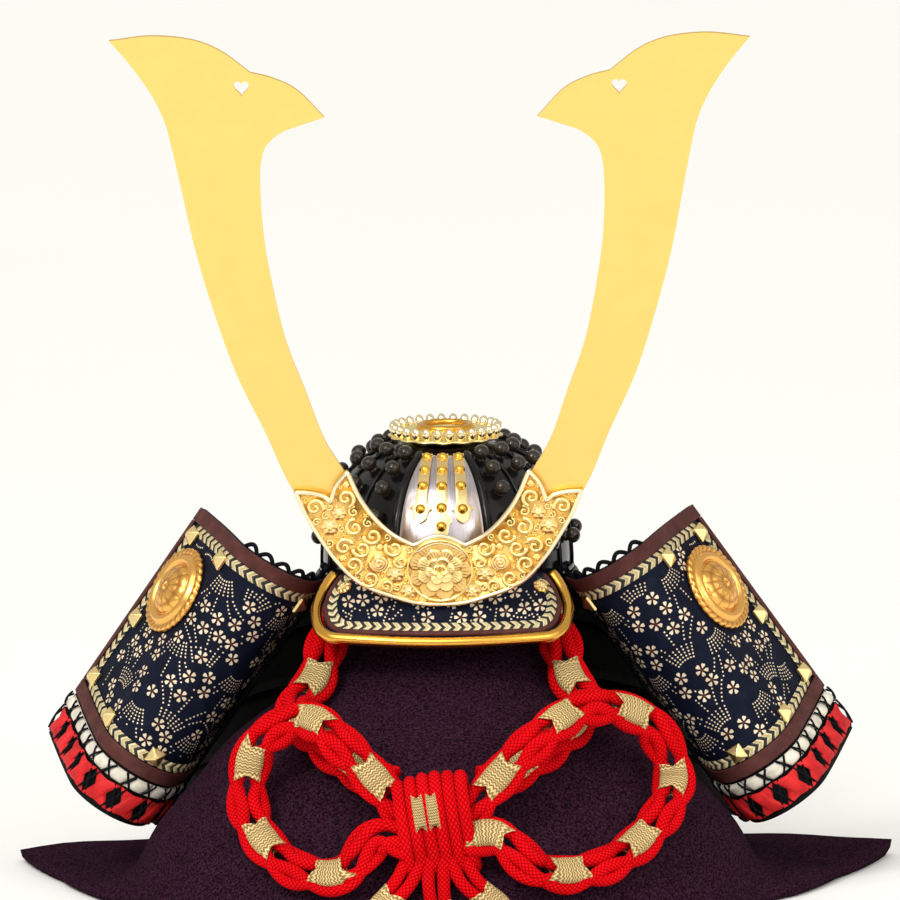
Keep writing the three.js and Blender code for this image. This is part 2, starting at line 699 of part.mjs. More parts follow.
function hornBase() {
  const points = baseOutline();
  const depth = { depth: BASE_THICKNESS, bevelEnabled: false };
  const body = new THREE.ExtrudeGeometry(new THREE.Shape(points), depth);
  const face = BASE_THICKNESS;
  const extras = [];
  const medalY = BASE_MEDAL_V * BASE_HEIGHT;
  extras.push(
    new THREE.CylinderGeometry(BASE_MEDAL_RADIUS * 0.8, BASE_MEDAL_RADIUS, BASE_MEDAL_RISE, 16)
      .rotateX(Math.PI / 2)
      .translate(0, medalY, face + BASE_MEDAL_RISE / 2 - 0.2),
  );
  for (let i = 0; i < BASE_MEDAL_PETALS; i++) {
    const a = (2 * Math.PI * i) / BASE_MEDAL_PETALS;
    const r = BASE_MEDAL_RADIUS * 0.62;
    const place = vec(r * Math.cos(a), medalY + r * Math.sin(a), face + BASE_MEDAL_RISE);
    extras.push(ball(place, 1.7, vec(0, 0, 1), 0.7));
  }
  extras.push(ball(vec(0, medalY, face + BASE_MEDAL_RISE), BASE_MEDAL_RADIUS * 0.4, vec(0, 0, 1), 0.5, 8, 4));
  for (const side of [-1, 1]) {
    const x = side * BASE_COIL_PLACE.across * BASE_HALF_WIDTH;
    const y = BASE_COIL_PLACE.up * BASE_HEIGHT;
    extras.push(
      new THREE.CylinderGeometry(BASE_COIL_RADIUS * 0.75, BASE_COIL_RADIUS, BASE_COIL_RISE, 10)
        .rotateX(Math.PI / 2)
        .translate(x, y, face + BASE_COIL_RISE / 2 - 0.2),
    );
    for (const { across, up, size } of BASE_SCROLLS) {
      const ring = new THREE.TorusGeometry(size * BASE_HALF_WIDTH, SCROLL_WIRE, 3, 7);
      extras.push(ring.translate(side * across * BASE_HALF_WIDTH, up * BASE_HEIGHT, face));
    }
  }
  const inner = points.slice(BASE_TOP_FROM, BASE_OUTLINE.length);
  for (const side of [-1, 1]) {
    const lower = points.slice(0, BASE_TOP_FROM + 1).map((p) => vec(side * p.x, p.y, face));
    const upper = inner.slice(5).map((p) => vec(side * p.x, p.y, face));
    extras.push(tube(lower, BASE_RIM_RADIUS, 4, 9));
    extras.push(tube(upper, BASE_RIM_RADIUS, 4, 7));
  }
  return leaned(joined(body, extras));
}

function horn(side) {
  const scaled = ({ across, up }) => new THREE.Vector2(side * across * HORN_SPAN, up * HORN_RISE);
  const shape = new THREE.Shape(HORN_OUTLINE.map(scaled));
  const middle = scaled(HORN_HOLE);
  const s = HORN_HOLE_SIZE;
  const heart = [
    [0, -0.9],
    [0.75, -0.2],
    [0.95, 0.4],
    [0.5, 0.8],
    [0, 0.5],
    [-0.5, 0.8],
    [-0.95, 0.4],
    [-0.75, -0.2],
  ].map(([x, y]) => new THREE.Vector2(middle.x + x * s, middle.y + y * s));
  shape.holes.push(new THREE.Path(heart));
  const body = new THREE.ExtrudeGeometry(shape, { depth: HORN_THICKNESS, bevelEnabled: false });
  return leaned(body.translate(0, 0, -HORN_THICKNESS - GAP));
}

// Neck guard: turn in degrees from the back towards +X, slant in mm down the flare.
function guardDirection(turn) {
  const outward = rad((turn * GUARD_END_TURN) / GUARD_END_ANGLE);
  const flare = rad(GUARD_FLARE);
  return vec(Math.sin(outward) * Math.sin(flare), Math.cos(outward) * Math.sin(flare), -Math.cos(flare));
}

function guardPoint(turn, slant) {
  const a = rad(turn);
  const seat = vec(
    (BOWL_HALF_WIDTH + GUARD_CLEAR) * Math.sin(a),
    (BOWL_HALF_DEPTH + GUARD_CLEAR) * Math.cos(a),
    BOWL_RIM_Z - GAP,
  );
  return seat.addScaledVector(guardDirection(turn), slant);
}

function guardRow(from, to, thickness, lift) {
  const steps = 22;
  const top = [];
  const foot = [];
  for (let j = 0; j <= steps; j++) {
    const turn = GUARD_END_ANGLE * ((2 * j) / steps - 1);
    top.push(guardPoint(turn, from(turn)));
    foot.push(guardPoint(turn, to(turn)));
  }
  return plate([top, foot], thickness, lift, vec(0, 1, 0.2));
}

// Foot of the last row: longer at the back than at the front ends.
function lastFoot(turn) {
  const back = Math.cos(rad((turn * 90) / GUARD_END_ANGLE)) ** 0.6;
  return TURN_LENGTH + GAP + THREE.MathUtils.lerp(LAST_ROW_FRONT, LAST_ROW_BACK, back);
}

// Turnback frame of one side: origin at its inner top corner, with axes out, front and down.
function turnFrame(side) {
  const down = guardDirection(side * GUARD_END_ANGLE);
  const front = vec(0, -1, 0).addScaledVector(down, down.y).normalize();
  const out = vec().crossVectors(down, front);
  if (out.x * side < 0) out.negate();
  const origin = guardPoint(side * GUARD_END_ANGLE, 0).addScaledVector(front, GAP + 0.5);
  return { origin, out, front, down };
}

const TURN_ARC = TURN_RADIUS * rad(TURN_LEG_ANGLE + TURN_WING_ANGLE);
const TURN_GIRTH = TURN_LEG + TURN_ARC + TURN_WING;

// Section of the turnback: place and normal at a length from its inner edge.
function turnSection(length) {
  const leg = rad(TURN_LEG_ANGLE);
  const wing = rad(TURN_WING_ANGLE);
  const along = Math.min(length, TURN_LEG);
  let place = new THREE.Vector2(Math.cos(leg), Math.sin(leg)).multiplyScalar(along);
  let angle = leg;
  if (length > TURN_LEG) {
    const swept = Math.min(length - TURN_LEG, TURN_ARC) / TURN_RADIUS;
    const inwards = new THREE.Vector2(Math.sin(leg), -Math.cos(leg));
    const centre = place.clone().addScaledVector(inwards, TURN_RADIUS);
    angle = leg - swept;
    place = centre.add(new THREE.Vector2(-Math.sin(angle), Math.cos(angle)).multiplyScalar(TURN_RADIUS));
  }
  if (length > TURN_LEG + TURN_ARC) {
    const rest = length - TURN_LEG - TURN_ARC;
    place.add(new THREE.Vector2(Math.cos(wing), -Math.sin(wing)).multiplyScalar(rest));
    angle = -wing;
  }
  return { place, normal: new THREE.Vector2(-Math.sin(angle), Math.cos(angle)) };
}

// Point on a turnback: across from its inner to its outer edge, and down in mm from the inner top corner.
function turnPoint(side, across, down, lift = 0) {
  const frame = turnFrame(side);
  const { place, normal } = turnSection(across * TURN_GIRTH);
  place.addScaledVector(normal, lift);
  return frame.origin
    .clone()
    .addScaledVector(frame.out, place.x)
    .addScaledVector(frame.front, place.y)
    .addScaledVector(frame.down, down);
}

const turnTop = (across) => TURN_TOP_SKEW * across - TURN_TOP_BULGE * Math.sin(Math.PI * across);
const turnFoot = (across) => TURN_LENGTH + TURN_FOOT_BULGE * Math.sin(Math.PI * across);
const turnDown = (across, share) => THREE.MathUtils.lerp(turnTop(across), turnFoot(across), share);

function turnNormal(side, across) {
  return vec().subVectors(turnPoint(side, across, 0, 1), turnPoint(side, across, 0, 0));
}

// Plate that follows the turnback between two lines across it.
function turnPlate(side, from, to, thickness, lift, start = 0, end = 1, steps = 11) {
  const face = (depth) =>
    [from, to].map((line) => {
      const row = [];
      for (let j = 0; j <= steps; j++) {
        const across = THREE.MathUtils.lerp(start, end, j / steps);
        row.push(turnPoint(side, across, line(across), depth));
      }
      return row;
    });
  return slab(face(lift), face(lift - thickness));
}

function medal(side) {
  const { across, down } = MEDAL_PLACE;
  const normal = turnNormal(side, across);
  const place = turnPoint(side, across, turnDown(across, down), GAP + MEDAL_THICKNESS / 2);
  const edge = [];
  for (let i = 0; i < 2 * MEDAL_TEETH; i++) {
    const a = (Math.PI * i) / MEDAL_TEETH;
    const r = MEDAL_RADIUS * (i % 2 ? 1 : 0.93);
    edge.push(new THREE.Vector2(r * Math.cos(a), r * Math.sin(a)));
  }
  const depth = { depth: MEDAL_THICKNESS, bevelEnabled: false };
  const disc = new THREE.ExtrudeGeometry(new THREE.Shape(edge), depth).translate(0, 0, -MEDAL_THICKNESS / 2);
  const extras = [];
  extras.push(new THREE.TorusGeometry(MEDAL_RADIUS * 0.68, 1, 4, 16).translate(0, 0, MEDAL_THICKNESS / 2));
  const boss = new THREE.SphereGeometry(MEDAL_BOSS_RADIUS, 12, 6).rotateX(Math.PI / 2);
  extras.push(boss.scale(1, 1, MEDAL_BOSS_RISE / MEDAL_BOSS_RADIUS));
  const cut = manifoldOf(joined(disc, extras));
  const below = new THREE.BoxGeometry(4 * MEDAL_RADIUS, 4 * MEDAL_RADIUS, 2 * MEDAL_RADIUS);
  below.translate(0, 0, -MEDAL_RADIUS - MEDAL_THICKNESS / 2);
  const whole = geometryOf(cut.subtract(manifoldOf(below)));
  const turn = new THREE.Quaternion().setFromUnitVectors(vec(0, 0, 1), normal);
  return whole.applyQuaternion(turn).translate(place.x, place.y, place.z);
}

function stud(side, { across, down }) {
  const normal = turnNormal(side, across);
  const place = turnPoint(side, across, turnDown(across, down), GAP);
  const half = STUD_SIZE / 2;
  const foot = [
    [-half, -half],
    [half, -half],
    [half, half],
    [-half, half],
  ];
  const rings = [0, STUD_BASE].map((z) => foot.map(([x, y]) => vec(x, y, z)));
  rings.push(foot.map(() => vec(0, 0, STUD_HEIGHT)));
  const frame = turnFrame(side);
  const out = vec().crossVectors(frame.down, normal);
  const basis = new THREE.Matrix4().makeBasis(out, normal.clone().cross(out), normal);
  return loft(rings).applyMatrix4(basis).translate(place.x, place.y, place.z);
}

function moundTop() {
  return BOWL_RIM_Z + BOWL_HEIGHT - BOWL_WALL - GAP;
}

// Width of the mound, as a share of its own, at a place from front to back.
function moundEase(y) {
  return 1 - MOUND_BACK_EASE * THREE.MathUtils.smoothstep(y, MOUND_EASE_FROM, MOUND_EASE_TO);
}

// Point before the mound's front: at an x and a height, and off the cloth by a rise.
function beforeMound(x, z, rise) {
  const share = z / moundTop();
  const radius = read(MOUND_PROFILE, "height", share, "radius") * MOUND_RADIUS;
  const forward = read(MOUND_PROFILE, "height", share, "forward") * MOUND_FORWARD;
  const above = read(MOUND_PROFILE, "height", share + 0.03, "radius") * MOUND_RADIUS;
  const face = vec(x, -Math.sqrt(radius ** 2 - x ** 2), 0);
  const normal = face.clone().normalize();
  normal.z = (radius - above) / (0.03 * moundTop());
  face.addScaledVector(normal.normalize(), rise);
  return face.add(vec(0, -forward, z));
}

// Rings of the draped mound, set in from the cloth's outer face by depth.
function moundRings(depth, flaps) {
  const profile = MOUND_PROFILE.map(
    ({ radius, height }) => new THREE.Vector2(radius * MOUND_RADIUS, height * moundTop()),
  );
  return profile.map((p, i) => {
    const before = profile[Math.max(i - 1, 0)];
    const after = profile[Math.min(i + 1, profile.length - 1)];
    const along = new THREE.Vector2().subVectors(after, before).normalize();
    if (i === profile.length - 1) along.set(-1, 0);
    const r = Math.max(p.x - depth * along.y, 0);
    const z = i === 0 ? 0 : Math.max(p.y + depth * along.x, 0.4 * i);
    const y = -MOUND_FORWARD * MOUND_PROFILE[i].forward;
    const ring = [];
    for (let j = 0; j < CLOTH_STEPS; j++) {
      const a = (2 * Math.PI * (j + 0.5)) / CLOTH_STEPS;
      const turn = THREE.MathUtils.radToDeg(Math.atan2(Math.sin(a), Math.abs(Math.cos(a))));
      const off = Math.abs(turn - FLAP_TURN);
      const flap = flaps && i < 2 ? FLAP_REACH * Math.max(0, 1 - off / FLAP_HALF_ANGLE) ** 1.2 : 0;
      const height = i === 1 && flaps ? FLAP_THICKNESS : z;
      const place = vec(r * Math.cos(a), y + r * Math.sin(a), height);
      place.x *= moundEase(place.y);
      place.add(vec(flap * Math.cos(a), flap * Math.sin(a), 0));
      ring.push(place);
    }
    return ring;
  });
}

function cloth() {
  const outer = moundRings(0, true).reverse();
  const inner = moundRings(CLOTH_WALL, false);
  return loft([...outer, ...inner]);
}

function standCore() {
  return loft(moundRings(CLOTH_WALL + GAP, false));
}

const laid = (points, side = 1) => points.map(([x, z, rise]) => beforeMound(side * x, z, rise));

function chinRope(side) {
  const hung = CHIN_ROPE_HUNG.map(([x, y, z]) => vec(side * x, y, z));
  return tube([...hung, ...laid(CHIN_ROPE_LAID, side)], ROPE_RADIUS, ROPE_SIDES, 16);
}

function bowLoop(points, side) {
  return tube(laid(points, side), ROPE_RADIUS, ROPE_SIDES, 18);
}

function knot() {
  const { halfWidth, halfDepth, halfHeight, height } = KNOT;
  const place = beforeMound(0, height, halfDepth + 1.3);
  const body = new THREE.SphereGeometry(1, 10, 8).scale(halfWidth, halfDepth, halfHeight);
  return body.translate(place.x, place.y, place.z);
}

function tail({ laid: upper, floor }) {
  const lower = floor.map(([x, y]) => vec(x, y, TAIL_RADIUS + 2 * GAP));
  return tube([...laid(upper), ...lower], TAIL_RADIUS, ROPE_SIDES, 6);
}

const model = new THREE.Group();

function add(name, geometry, color, roughness, metalness) {
  const mesh = new THREE.Mesh(geometry, new THREE.MeshStandardMaterial({ color, roughness, metalness }));
  mesh.name = name;
  model.add(mesh);
}

const GOLD = [0xf5d06a, 0.3, 1];
const LACQUER = [0x15120f, 0.25, 0.1];
const LEATHER = [0x5a3030, 0.7, 0];
const PRINTED = [0x141a30, 0.7, 0];
const RED_LEATHER = [0xd7282d, 0.6, 0];
const WHITE_LEATHER = [0xf0ebe1, 0.6, 0];
const RED_CORD = [0xd8191f, 0.75, 0];

add("stand_core", standCore(), 0xb89a6a, 0.8, 0);
add("stand_cloth", cloth(), 0x32193c, 0.95, 0);
add("bowl", bowl(), ...LACQUER);
add("front_plate", frontPlate(), 0xb8a8b0, 0.25, 1);
add("strip_centre", strip(0, CENTRE_STRIP_FOOT), ...GOLD);
add("strip_left", strip(-1, STRIP_FOOT), ...GOLD);
add("strip_right", strip(1, STRIP_FOOT), ...GOLD);
add("crown_disc", crownDisc(), ...GOLD);
add("crown_ring", crownRing(), ...GOLD);
add("visor", visor(), ...PRINTED);
add("visor_rim", visorRim(), ...GOLD);
add("horn_base", hornBase(), ...GOLD);

for (let i = 0; i < GUARD_ROWS; i++) {
  const from = i * GUARD_ROW_LENGTH + (i ? GAP : 0);
  const to = (i + 1) * GUARD_ROW_LENGTH;
  add(`guard_row_${i + 1}`, guardRow(() => from, () => to, GUARD_THICKNESS, 0), ...LACQUER);
}
const lastTop = () => GUARD_ROWS * GUARD_ROW_LENGTH + GAP;
const lacingLift = GAP + LACING_THICKNESS;
const redFoot = (turn) => lastFoot(turn) - 1.5;
const redTop = (turn) => redFoot(turn) - RED_LACING_HEIGHT;
const whiteTop = (turn) => redTop(turn) - GAP - WHITE_LACING_HEIGHT;
add("guard_row_4", guardRow(lastTop, lastFoot, GUARD_THICKNESS, 0), ...LACQUER);
add("guard_lacing_red", guardRow(redTop, redFoot, LACING_THICKNESS, lacingLift), ...RED_LEATHER);
const whiteFoot = (turn) => redTop(turn) - GAP;
add("guard_lacing_white", guardRow(whiteTop, whiteFoot, LACING_THICKNESS, lacingLift), ...WHITE_LEATHER);

for (const [word, side] of [
  ["left", -1],
  ["right", 1],
]) {
  add(`horn_${word}`, horn(side), 0xfde082, 0.3, 0.9);
  add(`visor_rosette_${word}`, rosette(side), ...GOLD);
  add(`turnback_${word}`, turnPlate(side, turnTop, turnFoot, TURN_THICKNESS, 0), ...PRINTED);
  const bandLift = GAP + BAND_THICKNESS;
  const topBand = (across) => turnTop(across) + BAND_WIDTH;
  const footBand = (across) => turnFoot(across) - BAND_WIDTH;
  const edge = 1 - BAND_WIDTH / 2 / TURN_GIRTH;
  const inner = (fn) => (across) => fn(across) + GAP;
  add(`band_top_${word}`, turnPlate(side, turnTop, topBand, BAND_THICKNESS, bandLift), ...LEATHER);
  add(`band_foot_${word}`, turnPlate(side, footBand, turnFoot, BAND_THICKNESS, bandLift), ...LEATHER);
  const sideFoot = (across) => footBand(across) - GAP;
  const sideBand = turnPlate(side, inner(topBand), sideFoot, BAND_THICKNESS, bandLift, edge, 1, 2);
  add(`band_side_${word}`, sideBand, ...LEATHER);
  add(`medal_${word}`, medal(side), 0xe8b24a, 0.35, 1);
  STUD_PLACES.forEach((place, i) => add(`stud_${word}_${i + 1}`, stud(side, place), ...GOLD));
  const boardTop = (across) => turnFoot(across) + GAP;
  const boardFoot = (across) => turnFoot(across) + GAP + LAST_ROW_FRONT;
  add(`board_end_${word}`, turnPlate(side, boardTop, boardFoot, GUARD_THICKNESS, 0), ...LACQUER);
  const white = (across) => turnFoot(across) + 1.2;
  const whiteEnd = (across) => white(across) + WHITE_LACING_HEIGHT;
  const red = (across) => whiteEnd(across) + GAP;
  const redEnd = (across) => red(across) + RED_LACING_HEIGHT;
  const whiteLacing = turnPlate(side, white, whiteEnd, LACING_THICKNESS, lacingLift);
  add(`end_lacing_white_${word}`, whiteLacing, ...WHITE_LEATHER);
  const redLacing = turnPlate(side, red, redEnd, LACING_THICKNESS, lacingLift);
  add(`end_lacing_red_${word}`, redLacing, ...RED_LEATHER);
  add(`chin_cord_${word}`, chinRope(side), ...RED_CORD);
  add(`bow_loop_${word}`, bowLoop(side < 0 ? BOW_LOOP_LEFT : BOW_LOOP_RIGHT, side), ...RED_CORD);
}
add("bow_knot", knot(), ...RED_CORD);
for (const [word, route] of Object.entries(TAILS)) add(`cord_tail_${word}`, tail(route), ...RED_CORD);

// The middle of the rigid pieces' extent stands over the origin, with the foot of the cloth at height zero.
const extent = new THREE.Box3();
for (const mesh of model.children) {
  if (!/cord|bow/.test(mesh.name)) extent.expandByObject(mesh);
}
const middle = extent.getCenter(vec());
model.position.set(-middle.x, -middle.y, -extent.min.z);

const helmet = new THREE.Group();
helmet.add(model);

export default helmet;
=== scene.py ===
"""A kabuto on its draped stand: the finished look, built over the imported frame."""

import logging
import random
from dataclasses import dataclass, field
from enum import Enum
from itertools import accumulate
from math import atan2, ceil, copysign, cos, degrees, floor, hypot, pi, radians, sin, sqrt
from typing import Callable, Sequence

import bpy
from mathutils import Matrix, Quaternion, Vector
from mathutils.geometry import tessellate_polygon

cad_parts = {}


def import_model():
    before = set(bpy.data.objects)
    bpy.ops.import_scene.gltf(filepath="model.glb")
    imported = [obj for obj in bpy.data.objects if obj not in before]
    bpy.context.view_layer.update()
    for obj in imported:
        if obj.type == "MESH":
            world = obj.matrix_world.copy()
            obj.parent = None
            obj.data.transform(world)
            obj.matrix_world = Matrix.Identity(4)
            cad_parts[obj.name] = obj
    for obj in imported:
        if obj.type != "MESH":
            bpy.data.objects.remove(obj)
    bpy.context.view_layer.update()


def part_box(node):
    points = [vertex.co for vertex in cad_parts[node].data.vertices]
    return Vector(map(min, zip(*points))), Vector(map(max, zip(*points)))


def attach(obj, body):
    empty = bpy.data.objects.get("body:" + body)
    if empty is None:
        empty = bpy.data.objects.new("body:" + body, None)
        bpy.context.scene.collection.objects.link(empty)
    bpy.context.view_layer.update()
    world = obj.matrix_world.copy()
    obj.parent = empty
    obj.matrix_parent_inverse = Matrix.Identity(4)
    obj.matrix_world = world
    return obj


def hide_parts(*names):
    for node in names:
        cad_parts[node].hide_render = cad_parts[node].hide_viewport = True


LOG = logging.getLogger("kabuto")
MM = 0.001
Socket = bpy.types.NodeSocket
Colour = tuple[float, ...]
Line = list[Vector]
Rows = list[list[Vector]]
Spots = Sequence[float]
Pairs = list[tuple[float, float]]
Reading = Callable[[float], float]
Ground = Callable[[float, float, float], Vector]
Surface = Callable[[float], tuple[Vector, Vector, Vector]]
Figure = Callable[[float, float], tuple[float, float, float]]


class Side(Enum):
    """Left or right of someone who faces the front."""

    LEFT = -1
    RIGHT = 1

    @property
    def word(self) -> str:
        """The side's word in node names."""
        return self.name.lower()


class Weave(Enum):
    """How a fibre surface is worked."""

    CREPE = "crepe"
    BRAID = "braid"
    HERRINGBONE = "herringbone"


def vec(x: float, y: float, z: float = 0.0) -> Vector:
    """A point or direction in the helmet's own millimetres."""
    return Vector((x, y, z))


def lerp(a: float, b: float, t: float) -> float:
    """Straight blend from a to b."""
    return a + (b - a) * t


def ease(a: float, b: float, value: float) -> float:
    """Smooth step of value between a and b, from 0 to 1."""
    t = clamp((value - a) / (b - a))
    return t * t * (3 - 2 * t)


def spread(start: float, end: float, count: int) -> list[float]:
    """Evenly spaced numbers, both ends included."""
    return [lerp(start, end, i / (count - 1)) for i in range(count)]


def clamp(value: float, low: float = 0.0, high: float = 1.0) -> float:
    """Value held between two limits."""
    return min(max(value, low), high)


def arch(t: float) -> float:
    """Half a sine wave: 0 at both ends and 1 in the middle."""
    return sin(pi * t)


def turns(count: int, shift: float = 0.0) -> list[float]:
    """Angles that share out a whole turn."""
    return [2 * pi * (j + shift) / count for j in range(count)]


def polar(radius: float, angle: float, z: float = 0.0) -> Vector:
    """Point at a radius and an angle around the upright axis."""
    return vec(radius * cos(angle), radius * sin(angle), z)


def net(downs: Sequence[float], acrosses: Sequence[float], point: Callable[[float, float], object]) -> list:
    """Rows of what a function of a place down and a place across returns."""
    return [[point(down, across) for across in acrosses] for down in downs]


def read_table(table: Sequence[Sequence[float]], key: int, value: float, column: int) -> float:
    """Reads a table's column where its key column has a value, straight between its rows."""
    i = 1
    while i < len(table) - 1 and table[i][key] < value:
        i += 1
    a, b = table[i - 1], table[i]
    return lerp(a[column], b[column], clamp((value - a[key]) / (b[key] - a[key])))


def blend(p: Vector, q: Vector, start: float, end: float, t: float) -> Vector:
    """Point that runs from p to q while t runs from start to end."""
    return p * ((end - t) / (end - start)) + q * ((t - start) / (end - start))


def smooth_line(points: Sequence[Vector], step: float) -> Line:
    """Points along a centripetal Catmull-Rom line.

    Args:
        points: The line's chosen points.
        step: Distance between the returned points.

    Returns:
        Points an even distance apart.
    """
    p = [points[0] * 2 - points[1], *points, points[-1] * 2 - points[-2]]
    fine: Line = []
    for i in range(1, len(p) - 2):
        p0, p1, p2, p3 = p[i - 1 : i + 3]
        t0 = 0.0
        t1, t2, t3 = accumulate(max((b - a).length, 1e-6) ** 0.5 for a, b in ((p0, p1), (p1, p2), (p2, p3)))
        for k in range(12):
            t = lerp(t1, t2, k / 12)
            a1, a2, a3 = blend(p0, p1, t0, t1, t), blend(p1, p2, t1, t2, t), blend(p2, p3, t2, t3, t)
            fine.append(blend(blend(a1, a2, t0, t2, t), blend(a2, a3, t1, t3, t), t1, t2, t))
    fine.append(p[-2].copy())
    return even(fine, step)


def even(line: Sequence[Vector], step: float) -> Line:
    """The same line with points an even distance apart."""
    total = length_of(line)
    count = max(int(round(total / step)), 2)
    out, travelled, i = [line[0].copy()], 0.0, 0
    for k in range(1, count):
        target = total * k / count
        while travelled + (line[i + 1] - line[i]).length < target:
            travelled += (line[i + 1] - line[i]).length
            i += 1
        gap = (line[i + 1] - line[i]).length
        out.append(line[i].lerp(line[i + 1], (target - travelled) / max(gap, 1e-9)))
    out.append(line[-1].copy())
    return out


def length_of(line: Sequence[Vector]) -> float:
    """Length along a line of points."""
    return sum((b - a).length for a, b in zip(line, line[1:]))


def tangents(line: Sequence[Vector], closed: bool = False) -> Line:
    """Unit directions along a line, or along a ring."""
    last = len(line) - 1
    if closed:
        return [(line[(i + 1) % len(line)] - line[i - 1]).normalized() for i in range(len(line))]
    return [(line[min(i + 1, last)] - line[max(i - 1, 0)]).normalized() for i in range(len(line))]


def frames(line: Sequence[Vector], facing: Vector, closed: bool = False) -> list[tuple[Vector, Vector]]:
    """For each point the direction across the line and the one that faces outwards.

    Args:
        line: Points of the line.
        facing: Direction that the outward one keeps closest to.
        closed: True for a ring.

    Returns:
        Pairs of unit vectors, across and outwards.
    """
    out = []
    for t in tangents(line, closed):
        up = (facing - t * facing.dot(t)).normalized()
        out.append((t.cross(up).normalized(), up))
    return out


@dataclass
class Shape:
    """Points and faces under construction, with a place in cloth or cord for each corner."""

    points: Line = field(default_factory=list)
    faces: list[tuple[int, ...]] = field(default_factory=list)
    uvs: list[tuple[tuple[float, float], ...]] = field(default_factory=list)
    # Height tone of each point: gilt paints shade where it is low, from 0 for full painted shade to 1 for
    # none.
    tones: list[float] = field(default_factory=list)

    def add(
        self, points: Line, faces: Sequence[Sequence[int]], uvs: list[Pairs] | None = None,
        tones: Spots | None = None,
    ) -> "Shape":
        """Adds points and faces.

        Args:
            points: New points.
            faces: Faces by place among the new points.
            uvs: Corner places of each face, or None.
            tones: Height tone of each point from 0 to 1, or None.

        Returns:
            This shape.
        """
        base = len(self.points)
        self.points.extend(points)
        self.faces.extend(tuple(base + i for i in f) for f in faces)
        self.uvs.extend(tuple(u) for u in uvs or (((0.0, 0.0),) * len(f) for f in faces))
        self.tones.extend(tones if tones else [1.0] * len(points))
        return self

    def sheet(
        self, rows: Rows, wrap: bool = False, flip: bool = False, size: tuple[float, float] = (1.0, 1.0),
        tones: Sequence[Spots] | None = None,
    ) -> "Shape":
        """Adds a net of quads through rows of points.

        Args:
            rows: Rows of the same length.
            wrap: True where each row is a ring.
            flip: True to turn the faces over.
            size: Place of the far corner, across and along.
            tones: Height tone for each point, or None.

        Returns:
            This shape.
        """
        n, m = len(rows), len(rows[0])
        faces, uvs = [], []
        for i in range(n - 1):
            for j in range(m if wrap else m - 1):
                k = (j + 1) % m
                quad = [i * m + j, i * m + k, (i + 1) * m + k, (i + 1) * m + j]
                span = m if wrap else m - 1
                u0, u1 = size[0] * j / span, size[0] * (j + 1) / span
                v0, v1 = size[1] * i / (n - 1), size[1] * (i + 1) / (n - 1)
                place = [(u0, v0), (u1, v0), (u1, v1), (u0, v1)]
                faces.append(quad[::-1] if flip else quad)
                uvs.append(place[::-1] if flip else place)
        flat = [t for row in tones for t in row] if tones else None
        return self.add([p for row in rows for p in row], faces, uvs, flat)

    def mirror(self) -> "Shape":
        """Turns every face over."""
        self.faces = [f[::-1] for f in self.faces]
        self.uvs = [u[::-1] for u in self.uvs]
        return self

    def close(self, *faces: tuple[int, ...]) -> None:
        """Adds faces between points that are already there."""
        self.faces.extend(faces)
        self.uvs.extend(((0.0, 0.0),) * len(f) for f in faces)

    def plate(self, point: Ground, downs: Spots, acrosses: Spots, face: float, rear: float) -> "Shape":
        """Adds a closed plate between two lifts of a surface, read by place across, place down and lift."""
        return self.slab(*(net(downs, acrosses, lambda s, t: point(t, s, lift)) for lift in (face, rear)))

    def slab(self, outer: Rows, inner: Rows, size: tuple[float, float] = (1.0, 1.0)) -> "Shape":
        """Adds a closed plate between two nets of the same size."""
        n, m = len(outer), len(outer[0])
        base = len(self.points)
        self.sheet(outer, size=size)
        self.sheet(inner, flip=True, size=size)
        rim = [*range(m)] + [i * m + m - 1 for i in range(1, n)]
        rim += [(n - 1) * m + j for j in range(m - 2, -1, -1)] + [i * m for i in range(n - 2, 0, -1)]
        under = base + n * m
        self.close(*((base + b, base + a, under + a, under + b) for a, b in zip(rim, rim[1:] + rim[:1])))
        return self

    def tube(
        self, line: Line, radius: float | Reading, sides: int, facing: Vector, squash: float = 1.0,
        closed: bool = False,
    ) -> "Shape":
        """Adds a round or oval tube with rounded ends along a line.

        Args:
            line: Its centreline.
            radius: Its radius, or a function of the share along it.
            sides: Points in each ring.
            facing: Direction across which squash flattens it.
            squash: Thickness as a share of its width.
            closed: True where the tube joins its own start.

        Returns:
            This shape.
        """
        size = radius if callable(radius) else (lambda share: radius)
        rows = []
        for i, (p, (across, up)) in enumerate(zip(line, frames(line, facing, closed))):
            r = size(i / (len(line) - 1))
            rows.append([p + across * (r * cos(a)) + up * (r * squash * sin(a)) for a in turns(sides)])
        base = len(self.points)
        if closed:
            rows.append(rows[0])
        self.sheet(rows, wrap=True, size=(1.0, length_of(line)))
        if closed:
            return self
        dirs = tangents(line)
        for start, p, t in ((0, line[0], -dirs[0]), (len(rows) - 1, line[-1], dirs[-1])):
            self.add([p + t * (rows[start][0] - p).length * 0.45], [])
            tip, top = base + start * sides, len(self.points) - 1
            for j in range(sides):
                edge = (tip + j, tip + (j + 1) % sides)
                self.close((*edge, top) if start else (*edge[::-1], top))
        return self

    def turned(self, profile: Pairs, place: Vector, axis: Vector, sides: int) -> "Shape":
        """Adds a lathed piece by radius and height pairs, from height zero at a place and along an axis."""
        turn = axis.normalized().to_track_quat("Z", "Y")
        rows = [[place + turn @ polar(r, a, h) for a in turns(sides)] for r, h in profile]
        return self.sheet(rows, wrap=True)

